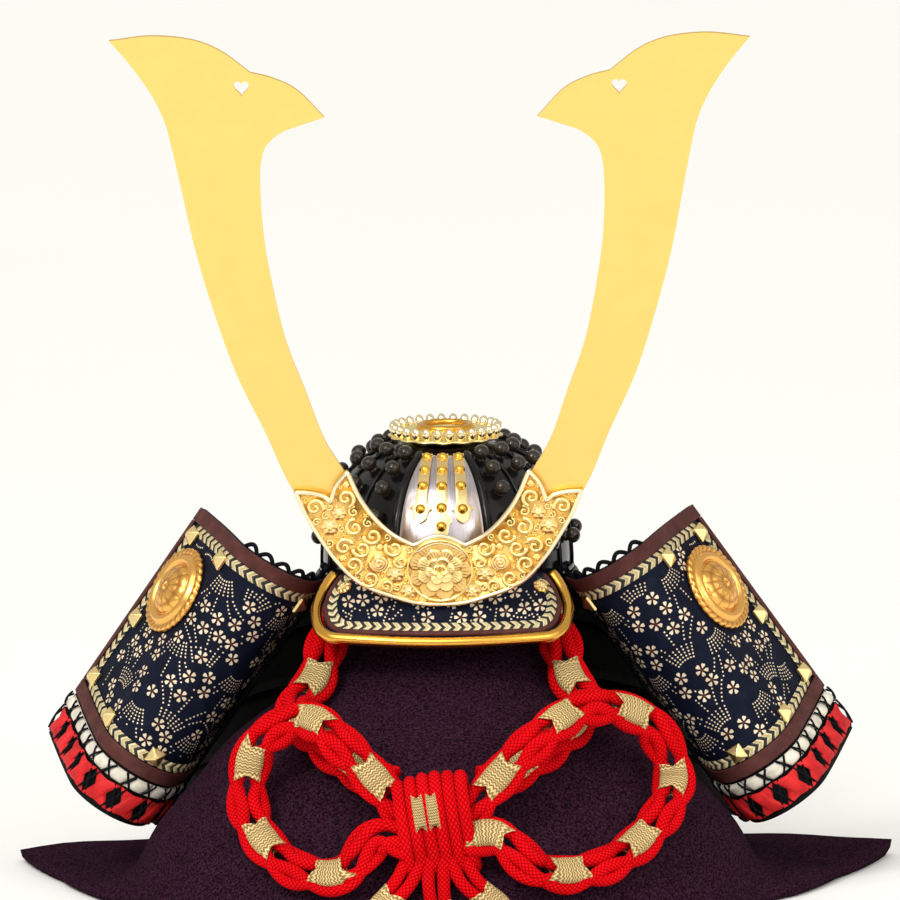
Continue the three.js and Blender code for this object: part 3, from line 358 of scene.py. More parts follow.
    def boss(
        self, place: Vector, axis: Vector, size: tuple[int, int], foot: tuple[float, float], form: Figure
    ) -> "Shape":
        """Adds a round raised figure.

        Args:
            place: Middle of its foot.
            axis: Its outward direction.
            size: Number of its rings, and points in each.
            foot: Depth and height tone of the skirt under its edge; its low tone paints shade there.
            form: Radius, height and height tone, from a share of the radius and an angle; a low tone is
                painted shade.

        Returns:
            This shape.
        """
        rings, count = size
        turn = axis.to_track_quat("Z", "Y")
        shares = [1 - k / rings for k in range(rings + 1)]
        cells = net(shares, turns(count), lambda share, a: (a, *form(share, a)))
        rows = [[place + turn @ polar(r, a, z) for a, r, z, _ in row] for row in cells]
        tones = [[tone for *_, tone in row] for row in cells]
        skirt = [[p - axis * foot[0] for p in rows[0]]]
        return self.sheet(skirt + rows, wrap=True, tones=[[foot[1]] * count] + tones)

    def prism(self, outline: Line, place: Ground, low: float, high: float) -> "Shape":
        """Adds a flat raised figure on a curved ground.

        Args:
            outline: The figure's corners on the ground, as (across, along, 0).
            place: Point of the ground from across, along and lift.
            low: Lift of its foot.
            high: Lift of its face.

        Returns:
            This shape.
        """
        n = len(outline)
        points = [place(p.x, p.y, lift) for lift in (high, low) for p in outline]
        faces: list[Sequence[int]] = [list(t) for t in tessellate_polygon([outline])]
        faces += [(i, (i + 1) % n, n + (i + 1) % n, n + i) for i in range(n)]
        return self.add(points, faces)


class Bench:
    """Turns shapes into pieces of the scene that ride with the helmet."""

    def __init__(self) -> None:
        """Finds the helmet's middle from the crown ring's box in the frame."""
        low, high = (Vector(corner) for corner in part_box("crown_ring"))
        middle = (low + high) / 2
        self.shift = Vector((middle.x, middle.y, 0.0))
        self.count = 0

    def metres(self, p: Vector) -> Vector:
        """A point of the helmet, in the frame's metres."""
        return p * MM + self.shift

    def piece(
        self, name: str, shape: Shape, finish: "Finish", replaces: Sequence[str] = (), soft: float = 0.0,
        segments: int = 2, angle: float = 35.0, flat_faces: bool = False,
    ) -> bpy.types.Object:
        """Makes a scene piece of a shape.

        Args:
            name: The piece's name.
            shape: Its points and faces in helmet millimetres.
            finish: What its surface is finished in.
            replaces: CAD nodes that it stands for.
            soft: Width in millimetres to which sharp edges are rounded.
            segments: Steps across that rounding.
            angle: Edges sharper than this many degrees are rounded.
            flat_faces: True to keep hard edges between faces.

        Returns:
            The new object.
        """
        mesh = bpy.data.meshes.new(name)
        mesh.from_pydata([self.metres(p) for p in shape.points], [], shape.faces)
        layer = mesh.uv_layers.new(name="cloth")
        flat = [value for face in shape.uvs for corner in face for value in corner]
        if len(flat) == 2 * len(mesh.loops):
            layer.data.foreach_set("uv", flat)
        # The height tones go into the relief attribute, from which gilt paints shade into its hollows.
        tone = mesh.attributes.new("relief", "FLOAT", "POINT")
        tone.data.foreach_set("value", shape.tones)
        mesh.validate(clean_customdata=False)
        mesh.update()
        mesh.polygons.foreach_set("use_smooth", [not flat_faces] * len(mesh.polygons))
        piece = link(name, mesh)
        mesh.materials.append(finish.material())
        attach(piece, "root")
        if replaces:
            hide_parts(*replaces)
        self.count += 1
        if soft:
            bevel = piece.modifiers.new("edge", "BEVEL")
            bevel.width = soft * MM
            bevel.segments = segments
            bevel.limit_method = "ANGLE"
            bevel.angle_limit = radians(angle)
            bevel.harden_normals = False
            settle(piece)
        return piece

    def cord(self, piece: bpy.types.Object, line: Line, diameter: float, far_end: str, gold: object) -> None:
        """Reads a cord's centreline in metres and its length, and keeps neither.

        Args:
            piece: The cord's own piece; not used.
            line: Its centreline in helmet millimetres.
            diameter: Its diameter in millimetres; not used.
            far_end: What its far end meets; not used.
            gold: The gold piece on it; not used.
        """
        path = [self.metres(p) for p in line]
        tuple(path[0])
        length_of(line) * MM

    def dress_node(self, name: str, finish: "Finish") -> None:
        """Gives a CAD node that stays in view its finish."""
        node = bpy.data.objects[name]
        node.data.materials.clear()
        node.data.materials.append(finish.material())


def link(name: str, data: bpy.types.ID) -> bpy.types.Object:
    """Puts a new object with its data in the scene."""
    made = bpy.data.objects.new(name, data)
    bpy.context.scene.collection.objects.link(made)
    return made


def settle(piece: bpy.types.Object) -> None:
    """Applies every modifier of a piece to its mesh."""
    graph = bpy.context.evaluated_depsgraph_get()
    fresh = bpy.data.meshes.new_from_object(piece.evaluated_get(graph))
    old = piece.data
    piece.modifiers.clear()
    piece.data = fresh
    fresh.name = old.name
    bpy.data.meshes.remove(old)


class Craft:
    """A material under construction, with short ways to add its nodes."""

    def __init__(self, name: str, **values: object) -> None:
        """Starts the material and sets its shader's sockets by name."""
        self.material = bpy.data.materials.new(name)
        self.material.use_nodes = True
        self.tree = self.material.node_tree
        self.shader = self.tree.nodes["Principled BSDF"]
        for key, value in values.items():
            self.shader.inputs[key.replace("_", " ")].default_value = value

    def node(self, kind: str, inputs: dict | None = None, **settings: object) -> bpy.types.Node:
        """Adds a node.

        Args:
            kind: Its type.
            inputs: Values or sockets for its inputs, by name or number.
            settings: Its other settings.

        Returns:
            The node.
        """
        node = self.tree.nodes.new(kind)
        for key, value in settings.items():
            setattr(node, key, value)
        for key, value in (inputs or {}).items():
            if isinstance(value, Socket):
                self.tree.links.new(value, node.inputs[key])
            else:
                node.inputs[key].default_value = value
        return node

    def shades(self, value: Socket, low: tuple[float, float], high: tuple[float, float]) -> Socket:
        """Greys along a value, from a place and its grey to another place and its grey."""
        return self.ramp(value, [(place, (grey,) * 3) for place, grey in (low, high)])

    def place(self, stretch: tuple[float, float, float] = (1.0, 1.0, 1.0)) -> Socket:
        """Position on the piece in millimetres, stretched along each axis."""
        spot = self.node("ShaderNodeTexCoord").outputs["Object"]
        scale = tuple(s / MM for s in stretch)
        return self.node("ShaderNodeMapping", {"Vector": spot, "Scale": scale}).outputs[0]

    def noise(self, size: float, detail: float = 3.0, vector: Socket | None = None) -> Socket:
        """Soft noise with spots of the given size in millimetres."""
        at = vector or self.place()
        inputs = {"Vector": at, "Scale": 1.0 / size, "Detail": detail}
        return self.node("ShaderNodeTexNoise", inputs).outputs[0]

    def ramp(self, value: Socket, stops: Sequence[tuple[float, Colour]]) -> Socket:
        """Colours along a value."""
        node = self.node("ShaderNodeValToRGB", {0: value})
        while len(node.color_ramp.elements) < len(stops):
            node.color_ramp.elements.new(0.5)
        for element, (position, color) in zip(node.color_ramp.elements, stops):
            element.position = position
            element.color = (*color, 1.0)
        return node.outputs[0]

    def sums(self, kind: str, a: object, b: object = 0.0) -> Socket:
        """One step of arithmetic on two values."""
        return self.node("ShaderNodeMath", {0: a, 1: b}, operation=kind).outputs[0]

    def mix(self, share: object, a: object, b: object, kind: str = "MIX") -> Socket:
        """Blend of two colours."""
        return self.node("ShaderNodeMix", {0: share, 6: a, 7: b}, data_type="RGBA", blend_type=kind).outputs[2]

    def bump(self, height: Socket, depth: float, strength: float = 1.0) -> None:
        """Raises the surface by a height of up to depth millimetres."""
        node = self.node("ShaderNodeBump", {"Height": height, "Distance": depth * MM, "Strength": strength})
        self.tree.links.new(node.outputs[0], self.shader.inputs["Normal"])

    def color(self, socket: Socket) -> None:
        """Sets the shader's colour."""
        self.tree.links.new(socket, self.shader.inputs["Base Color"])

    def rough(self, value: Socket, low: float, high: float) -> None:
        """Roughness that runs from low to high with a value."""
        node = self.node("ShaderNodeMapRange", {0: value, 3: low, 4: high})
        self.tree.links.new(node.outputs[0], self.shader.inputs["Roughness"])


@dataclass(frozen=True)
class Finish:
    """A finish: the slot that it belongs to, its name and its main colour."""

    slot: str
    name: str
    color: tuple[float, float, float]

    def material(self) -> bpy.types.Material:
        """The finish's material, made once."""
        found = bpy.data.materials.get(self.name)
        return found if found else self.make()

    def make(self) -> bpy.types.Material:
        """Builds the material."""
        raise NotImplementedError


@dataclass(frozen=True)
class Gilt(Finish):
    """Gilt metal with painted shade in its hollows: bright on what stands up, darker where its height tone is
    low.
    """

    # Colour of the painted shade in the hollows, and also the colour of the random stains.
    hollow: tuple[float, float, float] = (0.45, 0.17, 0.02)
    roughness: float = 0.28
    grain: float = 0.02
    brushed: bool = False

    def make(self) -> bpy.types.Material:
        """Builds the gilt with painted shade in its hollows, stains and fine grain."""
        craft = Craft(self.name, Metallic=1.0)
        height = craft.node("ShaderNodeAttribute", attribute_name="relief").outputs["Fac"]
        stretch = (0.05, 1.0, 1.0) if self.brushed else (1.0, 1.0, 1.0)
        fine = craft.noise(0.35, 2.0, craft.place(stretch))
        stain = craft.noise(9.0, 3.0)
        # Painted shade: the shade colour where the height tone is low, the main colour where the relief stands
        # up.
        tone = craft.mix(craft.shades(height, (0.0, 0), (0.75, 1)), (*self.hollow, 1), (*self.color, 1))
        worn = craft.mix(craft.shades(stain, (0.35, 0), (0.7, 0.35)), tone, (*self.hollow, 1))
        craft.color(craft.mix(0.25, tone, worn))
        craft.rough(fine, self.roughness - 0.06, self.roughness + 0.08)
        craft.bump(fine, self.grain)
        return craft.material


@dataclass(frozen=True)
class Lacquer(Finish):
    """Deep lacquer over iron, with a faint unevenness under its gloss."""

    roughness: float = 0.16
    coat: float = 0.08

    def make(self) -> bpy.types.Material:
        """Builds the lacquer."""
        craft = Craft(self.name, Coat_Weight=self.coat, Coat_Roughness=0.05, IOR=1.3)
        light = tuple(c * 1.9 + 0.001 for c in self.color)
        craft.color(craft.ramp(craft.noise(6.0), [(0.3, self.color), (0.75, light)]))
        craft.rough(craft.noise(2.5), self.roughness - 0.04, self.roughness + 0.12)
        craft.bump(craft.noise(1.3, 2.0), 0.03)
        return craft.material


@dataclass(frozen=True)
class Steel(Finish):
    """Polished plate with fine brushing down its height."""

    roughness: float = 0.2

    def make(self) -> bpy.types.Material:
        """Builds the steel."""
        craft = Craft(self.name, Metallic=1.0)
        streaks = craft.noise(0.5, 3.0, craft.place((1.0, 0.05, 0.05)))
        cloud = craft.noise(7.0)
        tone = craft.ramp(cloud, [(0.3, tuple(c * 0.72 for c in self.color)), (0.7, self.color)])
        brushed = craft.ramp(streaks, [(0.3, (0.25, 0.2, 0.22)), (0.7, (0.9, 0.85, 0.9))])
        craft.color(craft.mix(0.2, tone, brushed))
        craft.rough(streaks, self.roughness - 0.05, self.roughness + 0.1)
        craft.bump(streaks, 0.012)
        return craft.material


@dataclass(frozen=True)
class Leather(Finish):
    """Leather with a fine grain, lighter along what is worn."""

    roughness: float = 0.6
    pore: float = 0.7
    depth: float = 0.05

    def make(self) -> bpy.types.Material:
        """Builds the leather."""
        craft = Craft(self.name, IOR=1.2)
        inputs = {"Vector": craft.place(), "Scale": 1.0 / self.pore}
        cells = craft.node("ShaderNodeTexVoronoi", inputs).outputs[0]
        cloud = craft.noise(5.0)
        dark = tuple(c * 0.72 for c in self.color)
        light = tuple(min(c * 1.35 + 0.004, 1.0) for c in self.color)
        craft.color(craft.ramp(cloud, [(0.3, dark), (0.55, self.color), (0.8, light)]))
        craft.rough(cells, self.roughness + 0.1, self.roughness - 0.08)
        craft.bump(craft.sums("ADD", cells, craft.noise(0.3)), self.depth)
        return craft.material


@dataclass(frozen=True)
class Fibre(Finish):
    """Cloth or cord, by how it is worked."""

    weave: Weave = Weave.CREPE
    # Colour of the weave's crests: painted light on what stands up, while the main colour is painted shade in
    # its low parts.
    light: tuple[float, float, float] = (1.0, 1.0, 1.0)
    around: float = 6.0
    pitch: float = 2.6
    depth: float = 0.3
    metal: float = 0.0

    def crepe(self, craft: Craft) -> Socket:
        """Height of a crepe: short crossed crinkles."""
        wide = craft.noise(0.95, 2.0, craft.place((1.0, 1.0, 1.8)))
        tall = craft.noise(1.0, 2.0, craft.place((1.7, 1.7, 0.8)))
        return craft.sums("MULTIPLY", wide, tall)

    def run(self, craft: Craft) -> tuple[Socket, Socket]:
        """Place on the fibre: strands counted around it and stitches along it."""
        spot = craft.node("ShaderNodeUVMap", uv_map="cloth").outputs[0]
        split = craft.node("ShaderNodeSeparateXYZ", {0: spot})
        turn = craft.sums("MULTIPLY", split.outputs[0], self.around)
        return turn, craft.sums("DIVIDE", split.outputs[1], self.pitch)

    def plait(self, craft: Craft) -> Socket:
        """Height of a round braid: plump cells along two crossed spirals."""
        turn, run = self.run(craft)
        sines = []
        for kind in ("ADD", "SUBTRACT"):
            wave = craft.sums("SINE", craft.sums("MULTIPLY", craft.sums(kind, turn, run), pi))
            sines.append(craft.sums("ABSOLUTE", wave))
        return craft.sums("MULTIPLY", sines[0], sines[1])

    def herringbone(self, craft: Craft) -> Socket:
        """Height of gold thread wound in rows of small Vs."""
        turn, run = self.run(craft)
        vee = craft.sums("PINGPONG", turn, 0.5)
        wave = craft.sums("SINE", craft.sums("MULTIPLY", craft.sums("ADD", run, vee), 2 * pi))
        return craft.sums("ADD", craft.sums("MULTIPLY", wave, 0.5), 0.5)

    def make(self) -> bpy.types.Material:
        """Builds the fibre."""
        craft = Craft(self.name, Metallic=self.metal, Sheen_Weight=0.004, Specular_IOR_Level=0.0)
        worked = {Weave.CREPE: self.crepe, Weave.BRAID: self.plait, Weave.HERRINGBONE: self.herringbone}
        height = worked[self.weave](craft)
        # Painted shade and light: the weave's height runs the colour from the main colour in its low parts to
        # the crest colour on its crests.
        low, high = (0.17, 0.34) if self.weave is Weave.CREPE else (0.05, 0.8)
        tone = craft.ramp(height, [(low, self.color), (high, self.light)])
        cloud = craft.shades(craft.noise(14.0), (0.3, 0.82), (0.7, 1))
        craft.color(craft.mix(1.0, tone, cloud, "MULTIPLY"))
        craft.rough(height, 0.85, 0.6 if self.metal == 0 else 0.35)
        craft.bump(height, self.depth)
        return craft.material


@dataclass(frozen=True)
class Plain(Finish):
    """Wood or a studio surface, with a soft variation of its colour."""

    roughness: float = 0.8
    spots: float = 40.0
    change: float = 0.06

    def make(self) -> bpy.types.Material:
        """Builds the surface."""
        craft = Craft(self.name)
        dark = tuple(c * (1 - self.change) for c in self.color)
        cloud = craft.noise(self.spots, 4.0)
        craft.color(craft.ramp(cloud, [(0.3, dark), (0.7, self.color)]))
        craft.rough(cloud, self.roughness - 0.05, self.roughness + 0.1)
        craft.bump(craft.noise(0.8), 0.02)
        return craft.material


# Each gilt's second colour is the painted shade of its hollows and the colour of its stains.
HORN_GOLD = Gilt("horn_gold", "bright_horn_gilt", (0.93, 0.66, 0.2), (0.7, 0.42, 0.1), 0.42, 0.006, True)
CAST_GOLD = Gilt("gilt_brass", "cast_gilt", (1.0, 0.82, 0.36), (0.75, 0.42, 0.1), 0.27)
PALE_GOLD = Gilt("gilt_brass", "pale_gilt", (0.96, 0.71, 0.33), (0.6, 0.3, 0.06), 0.24)
DEEP_GOLD = Gilt("gilt_brass", "deep_gilt", (0.8, 0.42, 0.07), (0.36, 0.12, 0.015), 0.2)
RIVET_GOLD = Gilt("gilt_brass", "rivet_gilt", (0.95, 0.55, 0.08), (0.5, 0.2, 0.02), 0.22)
MEDAL_GOLD = Gilt("gilt_brass", "medal_gilt", (0.97, 0.52, 0.13), (0.4, 0.11, 0.01), 0.24)
PYRAMID_GOLD = Gilt("gilt_brass", "pyramid_gilt", (1.0, 0.78, 0.36), (0.6, 0.3, 0.06), 0.3)
SILVER_GILT = Gilt("gilt_brass", "silver_gilt", (0.97, 0.84, 0.56), (0.7, 0.45, 0.18), 0.16)
# Gilt for the base's ground, which its low height tone paints mostly in the shade colour.
HOLLOW_GOLD = Gilt("gilt_brass", "hollow_gilt", (0.98, 0.76, 0.3), (0.86, 0.56, 0.17), 0.4)
BLACK_LACQUER = Lacquer("black_lacquer", "iron_lacquer", (0.0035, 0.0033, 0.0032), 0.16, 0.08)
STAR_LACQUER = Lacquer("black_lacquer", "rivet_lacquer", (0.016, 0.011, 0.007), 0.1, 0.4)
BOARD_LACQUER = Leather("black_lacquer", "board_lacquer", (0.003, 0.003, 0.004), 0.6, 0.9, 0.02)
POLISHED_STEEL = Steel("polished_steel", "bright_steel", (0.66, 0.58, 0.6))
PRINTED_LEATHER = Leather("printed_leather", "dark_blue_leather", (0.0035, 0.0055, 0.017), 0.62, 0.5, 0.03)
CREAM_PRINT = Leather("printed_leather", "cream_print", (0.78, 0.64, 0.46), 0.7, 0.5, 0.02)
BUD_RED = Leather("printed_leather", "bud_print", (0.09, 0.02, 0.018), 0.7, 0.5, 0.02)
BROWN_LEATHER = Leather("brown_leather", "brown_hide", (0.085, 0.027, 0.024), 0.5, 0.8, 0.05)
WHITE_LEATHER = Leather("white_leather", "white_hide", (0.68, 0.63, 0.53), 0.5, 0.9, 0.06)
RED_LEATHER = Leather("red_leather", "red_hide", (0.6, 0.02, 0.022), 0.42, 0.9, 0.08)
# Each fibre's first colour is painted shade in its weave's low parts, and its second is painted light on its
# crests.
PURPLE_CREPE = Fibre(
    "purple_crepe", "purple_weave", (0.0085, 0.0031, 0.006), Weave.CREPE, (0.046, 0.0168, 0.0325), depth=0.5
)
RED_CORD = Fibre(
    "red_cord", "red_braid", (0.42, 0.001, 0.003), Weave.BRAID, (0.95, 0.008, 0.012), 9.0, 1.6, 0.3
)
GOLD_THREAD = Fibre(
    "gold_thread", "gold_winding", (0.3, 0.17, 0.045), Weave.HERRINGBONE, (0.8, 0.61, 0.3),
    16.0, 0.95, 0.25, 0.3,
)
BLACK_SILK = Fibre(
    "black_lacquer", "black_silk", (0.004, 0.004, 0.006), Weave.BRAID, (0.02, 0.02, 0.026), 6.0, 1.2, 0.12
)
GUARD_SILK = Fibre(
    "black_lacquer", "guard_silk", (0.004, 0.005, 0.012), Weave.BRAID, (0.03, 0.032, 0.05), 1.0, 1.4, 0.2
)
CREAM_BRAID = Fibre(
    "gold_thread", "cream_braid", (0.5, 0.38, 0.18), Weave.HERRINGBONE, (0.9, 0.78, 0.48), 5.0, 0.8, 0.08
)
DARK_BRAID = Fibre(
    "printed_leather", "dark_braid", (0.02, 0.022, 0.03), Weave.HERRINGBONE, (0.08, 0.075, 0.06),
    5.0, 0.8, 0.08,
)
STAND_WOOD = Plain("stand_wood", "turned_wood", (0.42, 0.28, 0.14), 0.7, 6.0, 0.3)
PALE_FLOOR = Plain("stand_wood", "pale_floor", (0.93, 0.925, 0.9), 0.9, 300.0, 0.01)


@dataclass
class Studio:
    """Pale floor, soft light, and a camera where the photographer stood."""

    azimuth: float = 2.2
    elevation: float = 9.0
    roll: float = 0.7
    distance: float = 10.0
    sensor: float = 36.0
    frame_width: float = 0.297
    target: tuple[float, float, float] = (0.0017, 0.0, 0.1455)
    sky: float = 0.64
    floor_reach: float = 14.0

    def camera(self) -> bpy.types.Object:
        """Creates the camera and makes it the scene's own."""
        data = bpy.data.cameras.new("camera")
        data.sensor_width = self.sensor
        data.lens = self.sensor * self.distance / self.frame_width
        data.clip_end = 100.0
        camera = link("camera", data)
        az, el = radians(self.azimuth), radians(self.elevation)
        away = Vector((sin(az) * cos(el), -cos(az) * cos(el), sin(el)))
        camera.location = Vector(self.target) + away * self.distance
        roll = Quaternion((0, 0, 1), -radians(self.roll))
        camera.rotation_euler = (away.to_track_quat("Z", "Y") @ roll).to_euler()
        bpy.context.scene.camera = camera
        return camera

    def light(self, name: str, kind: str, place: Colour, aim: Vector, **settings: object) -> None:
        """Adds a light of a kind that shines from a place towards an aim."""
        data = bpy.data.lights.new(name, kind)
        for key, value in settings.items():
            setattr(data, key, value)
        lamp = link(name, data)
        lamp.location = place
        lamp.rotation_euler = (Vector(place) - aim).to_track_quat("Z", "Y").to_euler()

    def floor(self) -> None:
        """Lays the pale floor."""
        mesh = bpy.data.meshes.new("floor")
        r, z = self.floor_reach, -0.0002
        mesh.from_pydata([(-r, -r, z), (r, -r, z), (r, r, z), (-r, r, z)], [], [(0, 1, 2, 3)])
        mesh.materials.append(PALE_FLOOR.material())
        floor = link("floor", mesh)

    def build(self) -> None:
        """Sets up the whole studio."""
        self.camera()
        world = bpy.data.worlds.new("studio")
        world.use_nodes = True
        ground = world.node_tree.nodes["Background"]
        ground.inputs[0].default_value = (0.99, 0.972, 0.905, 1.0)
        ground.inputs[1].default_value = self.sky
        bpy.context.scene.world = world
        bpy.context.scene.view_settings.view_transform = "Standard"
        self.floor()
        ahead, middle = Vector((0, 0, 0)), Vector((0, 0, 0.13))
        self.light("soft_key", "SUN", (-0.5, -1.0, 1.2), ahead, angle=radians(50), energy=1.35)
        self.light("soft_fill", "SUN", (0.8, -0.9, 0.7), ahead, angle=radians(60), energy=0.6)
        self.light("key", "AREA", (-0.7, -1.4, 1.2), middle, shape="SQUARE", size=0.3, energy=9.0)
        self.light("fill", "AREA", (0.9, -1.2, 0.8), middle, shape="SQUARE", size=0.4, energy=2.5)


@dataclass
class BowlForm:
    """The bowl's surface, in helmet millimetres."""

    half_width: float = 41.0
    half_depth: float = 45.0
    height: float = 43.0
    rim: float = 105.0
    wall: float = 2.0
    fullness: float = 2.6

    def normal(self, angle: float, level: float) -> Vector:
        """Outward direction at an angle from the front and a level up to the crown."""
        tau = clamp(level, 0.002, 0.998) * pi / 2
        out = cos(tau) ** (2 * (1 - 1 / self.fullness))
        up = sin(tau) ** (2 * (1 - 1 / self.fullness))
        a = radians(angle)
        x, y = out * sin(a) / self.half_width, -out * cos(a) / self.half_depth
        return vec(x, y, up / self.height).normalized()

    def point(self, angle: float, level: float, lift: float = 0.0) -> Vector:
        """Point on the bowl, off its face by a lift."""
        tau = level * pi / 2
        out = max(cos(tau), 0.0) ** (2 / self.fullness)
        up = sin(tau) ** (2 / self.fullness)
        a = radians(angle)
        x, y = self.half_width * out * sin(a), -self.half_depth * out * cos(a)
        return vec(x, y, self.rim + self.height * up) + self.normal(angle, level) * lift

    def height_at(self, radius: float) -> float:
        """Height of the outer face over the rim at a radius from the axis."""
        n = self.fullness
        return self.height * (1 - min(radius / self.half_depth, 1.0) ** n) ** (1 / n)


@dataclass
class MoundForm:
    """The draped mound's surface, in helmet millimetres."""

    radius: float = 110.0
    top: float = 145.7
    forward: float = 18.0
    back_ease: float = 0.085
    ease_from: float = -36.0
    ease_to: float = -17.0
    corners: int = 24
    flap_reach: float = 56.3
    flap_half_angle: float = 38.0
    flap_turn: float = 22.5
    # Radius and height as shares, and how far forward that ring lies.
    profile: tuple[tuple[float, float, float], ...] = (
        (1.0, 0.0, 1.0), (0.985, 0.0235, 1.0), (0.965, 0.05, 1.0), (0.945, 0.09, 1.0),
        (0.89, 0.17, 1.0), (0.786, 0.265, 1.0), (0.675, 0.365, 1.0), (0.56, 0.43, 0.9),
        (0.455, 0.48, 0.75), (0.365, 0.55, 0.5), (0.26, 0.65, 0.1), (0.212, 0.76, 0.0),
        (0.205, 0.86, 0.0), (0.18, 0.94, 0.0), (0.1, 0.985, 0.0), (0.0, 1.0, 0.0),
    )

    def read(self, share: float, column: int) -> float:
        """Linear reading of the profile at a height share."""
        return read_table(self.profile, 1, share, column)

    def before(self, x: float, z: float, rise: float) -> Vector:
        """Point before the mound's front at an x and a height, off the cloth by a rise."""
        share = z / self.top
        radius = self.read(share, 0) * self.radius
        above = self.read(share + 0.03, 0) * self.radius
        face = vec(x, -sqrt(radius**2 - x**2), 0)
        normal = face.normalized()
        normal.z = (radius - above) / (0.03 * self.top)
        face += normal.normalized() * rise
        return face + vec(0, -self.read(share, 2) * self.forward, z)


@dataclass
class Rope:
    """A rope of two pairs of braids that part and meet like a chain, with gold wound at each meeting."""

    bench: Bench
    name: str
    route: Line
    nodes: tuple[str, ...]
    pairs: int = 2
    braid: float = 2.15
    sides: int = 10
    period: float = 31.0
    gap: float = 3.1
    crossing: float = 0.62
    diameter: float = 12.0
    facing: Vector = field(default_factory=lambda: vec(0, -0.8, 0.6))
    start: float = 0.0
    fine_step: float = 1.1
    told_step: float = 5.5
    sleeve: float = 5.0
    sleeve_girth: tuple[float, float] = (2.12, 1.2)
    sleeve_notch: float = 2.2
    bare_end: float = 4.0

    def path(self, pair: int, way: int) -> Line:
        """The line that one braid of a pair follows.

        Args:
            pair: Number of the pair.
            way: -1 or 1 for the pair's two braids.

        Returns:
            The braid's own line.
        """
        line = smooth_line(self.route, self.fine_step)
        total = length_of(line)
        phase = self.start + 0.5 * pair
        path = []
        for i, (p, (across, up)) in enumerate(zip(line, frames(line, self.facing))):
            share = total * i / (len(line) - 1) / self.period
            lift = self.braid * self.crossing * cos(2 * pi * (share + phase)) if self.pairs > 1 else 0.0
            parting = self.braid * 0.93 + self.gap * arch(share + phase) ** 2
            path.append(p + across * (way * parting) + up * lift)
        return path

    def braids(self) -> Shape:
        """Every braid of the rope."""
        shape = Shape()
        for pair in range(self.pairs):
            for way in (-1, 1):
                shape.tube(self.path(pair, way), self.braid, self.sides, self.facing)
        return shape

    def sleeves(self) -> Shape:
        """The gold wound around each pair where its braids meet."""
        line = smooth_line(self.route, 0.5)
        sides = frames(line, self.facing)
        total, last = length_of(line), len(line) - 1
        lift = self.braid * self.crossing if self.pairs > 1 else 0.0
        wide, deep = (self.braid * girth for girth in self.sleeve_girth)
        shape = Shape()
        for k in range(ceil(self.start), ceil(total / self.period + self.start) + 1):
            middle = (k - self.start) * self.period

            def spot(t: float, a: float) -> Vector:
                notch = self.sleeve_notch * abs(cos(a)) ** 0.8 if abs(t) > 0.8 else 0.0
                i = clamp(int((middle + t * self.sleeve + copysign(notch, t)) / total * last), 0, last)
                across, up = sides[i]
                fat = 1.0 + 0.03 * cos(pi * t)
                flat = copysign(abs(sin(a)) ** 0.7, sin(a))
                return line[i] + across * (wide * fat * cos(a)) + up * (lift + deep * fat * flat)

            if self.bare_end <= middle < total - self.bare_end:
                shape.sheet(net(spread(-1.0, 1.0, 9), turns(24), spot), wrap=True, size=(1.0, 2 * self.sleeve))
        return shape

    def build(self) -> None:
        rope = self.bench.piece(self.name, self.braids(), RED_CORD, self.nodes)
        gold = self.bench.piece(self.name + "_gold", self.sleeves(), GOLD_THREAD)
        self.bench.cord(rope, smooth_line(self.route, self.told_step), self.diameter, "object", gold)


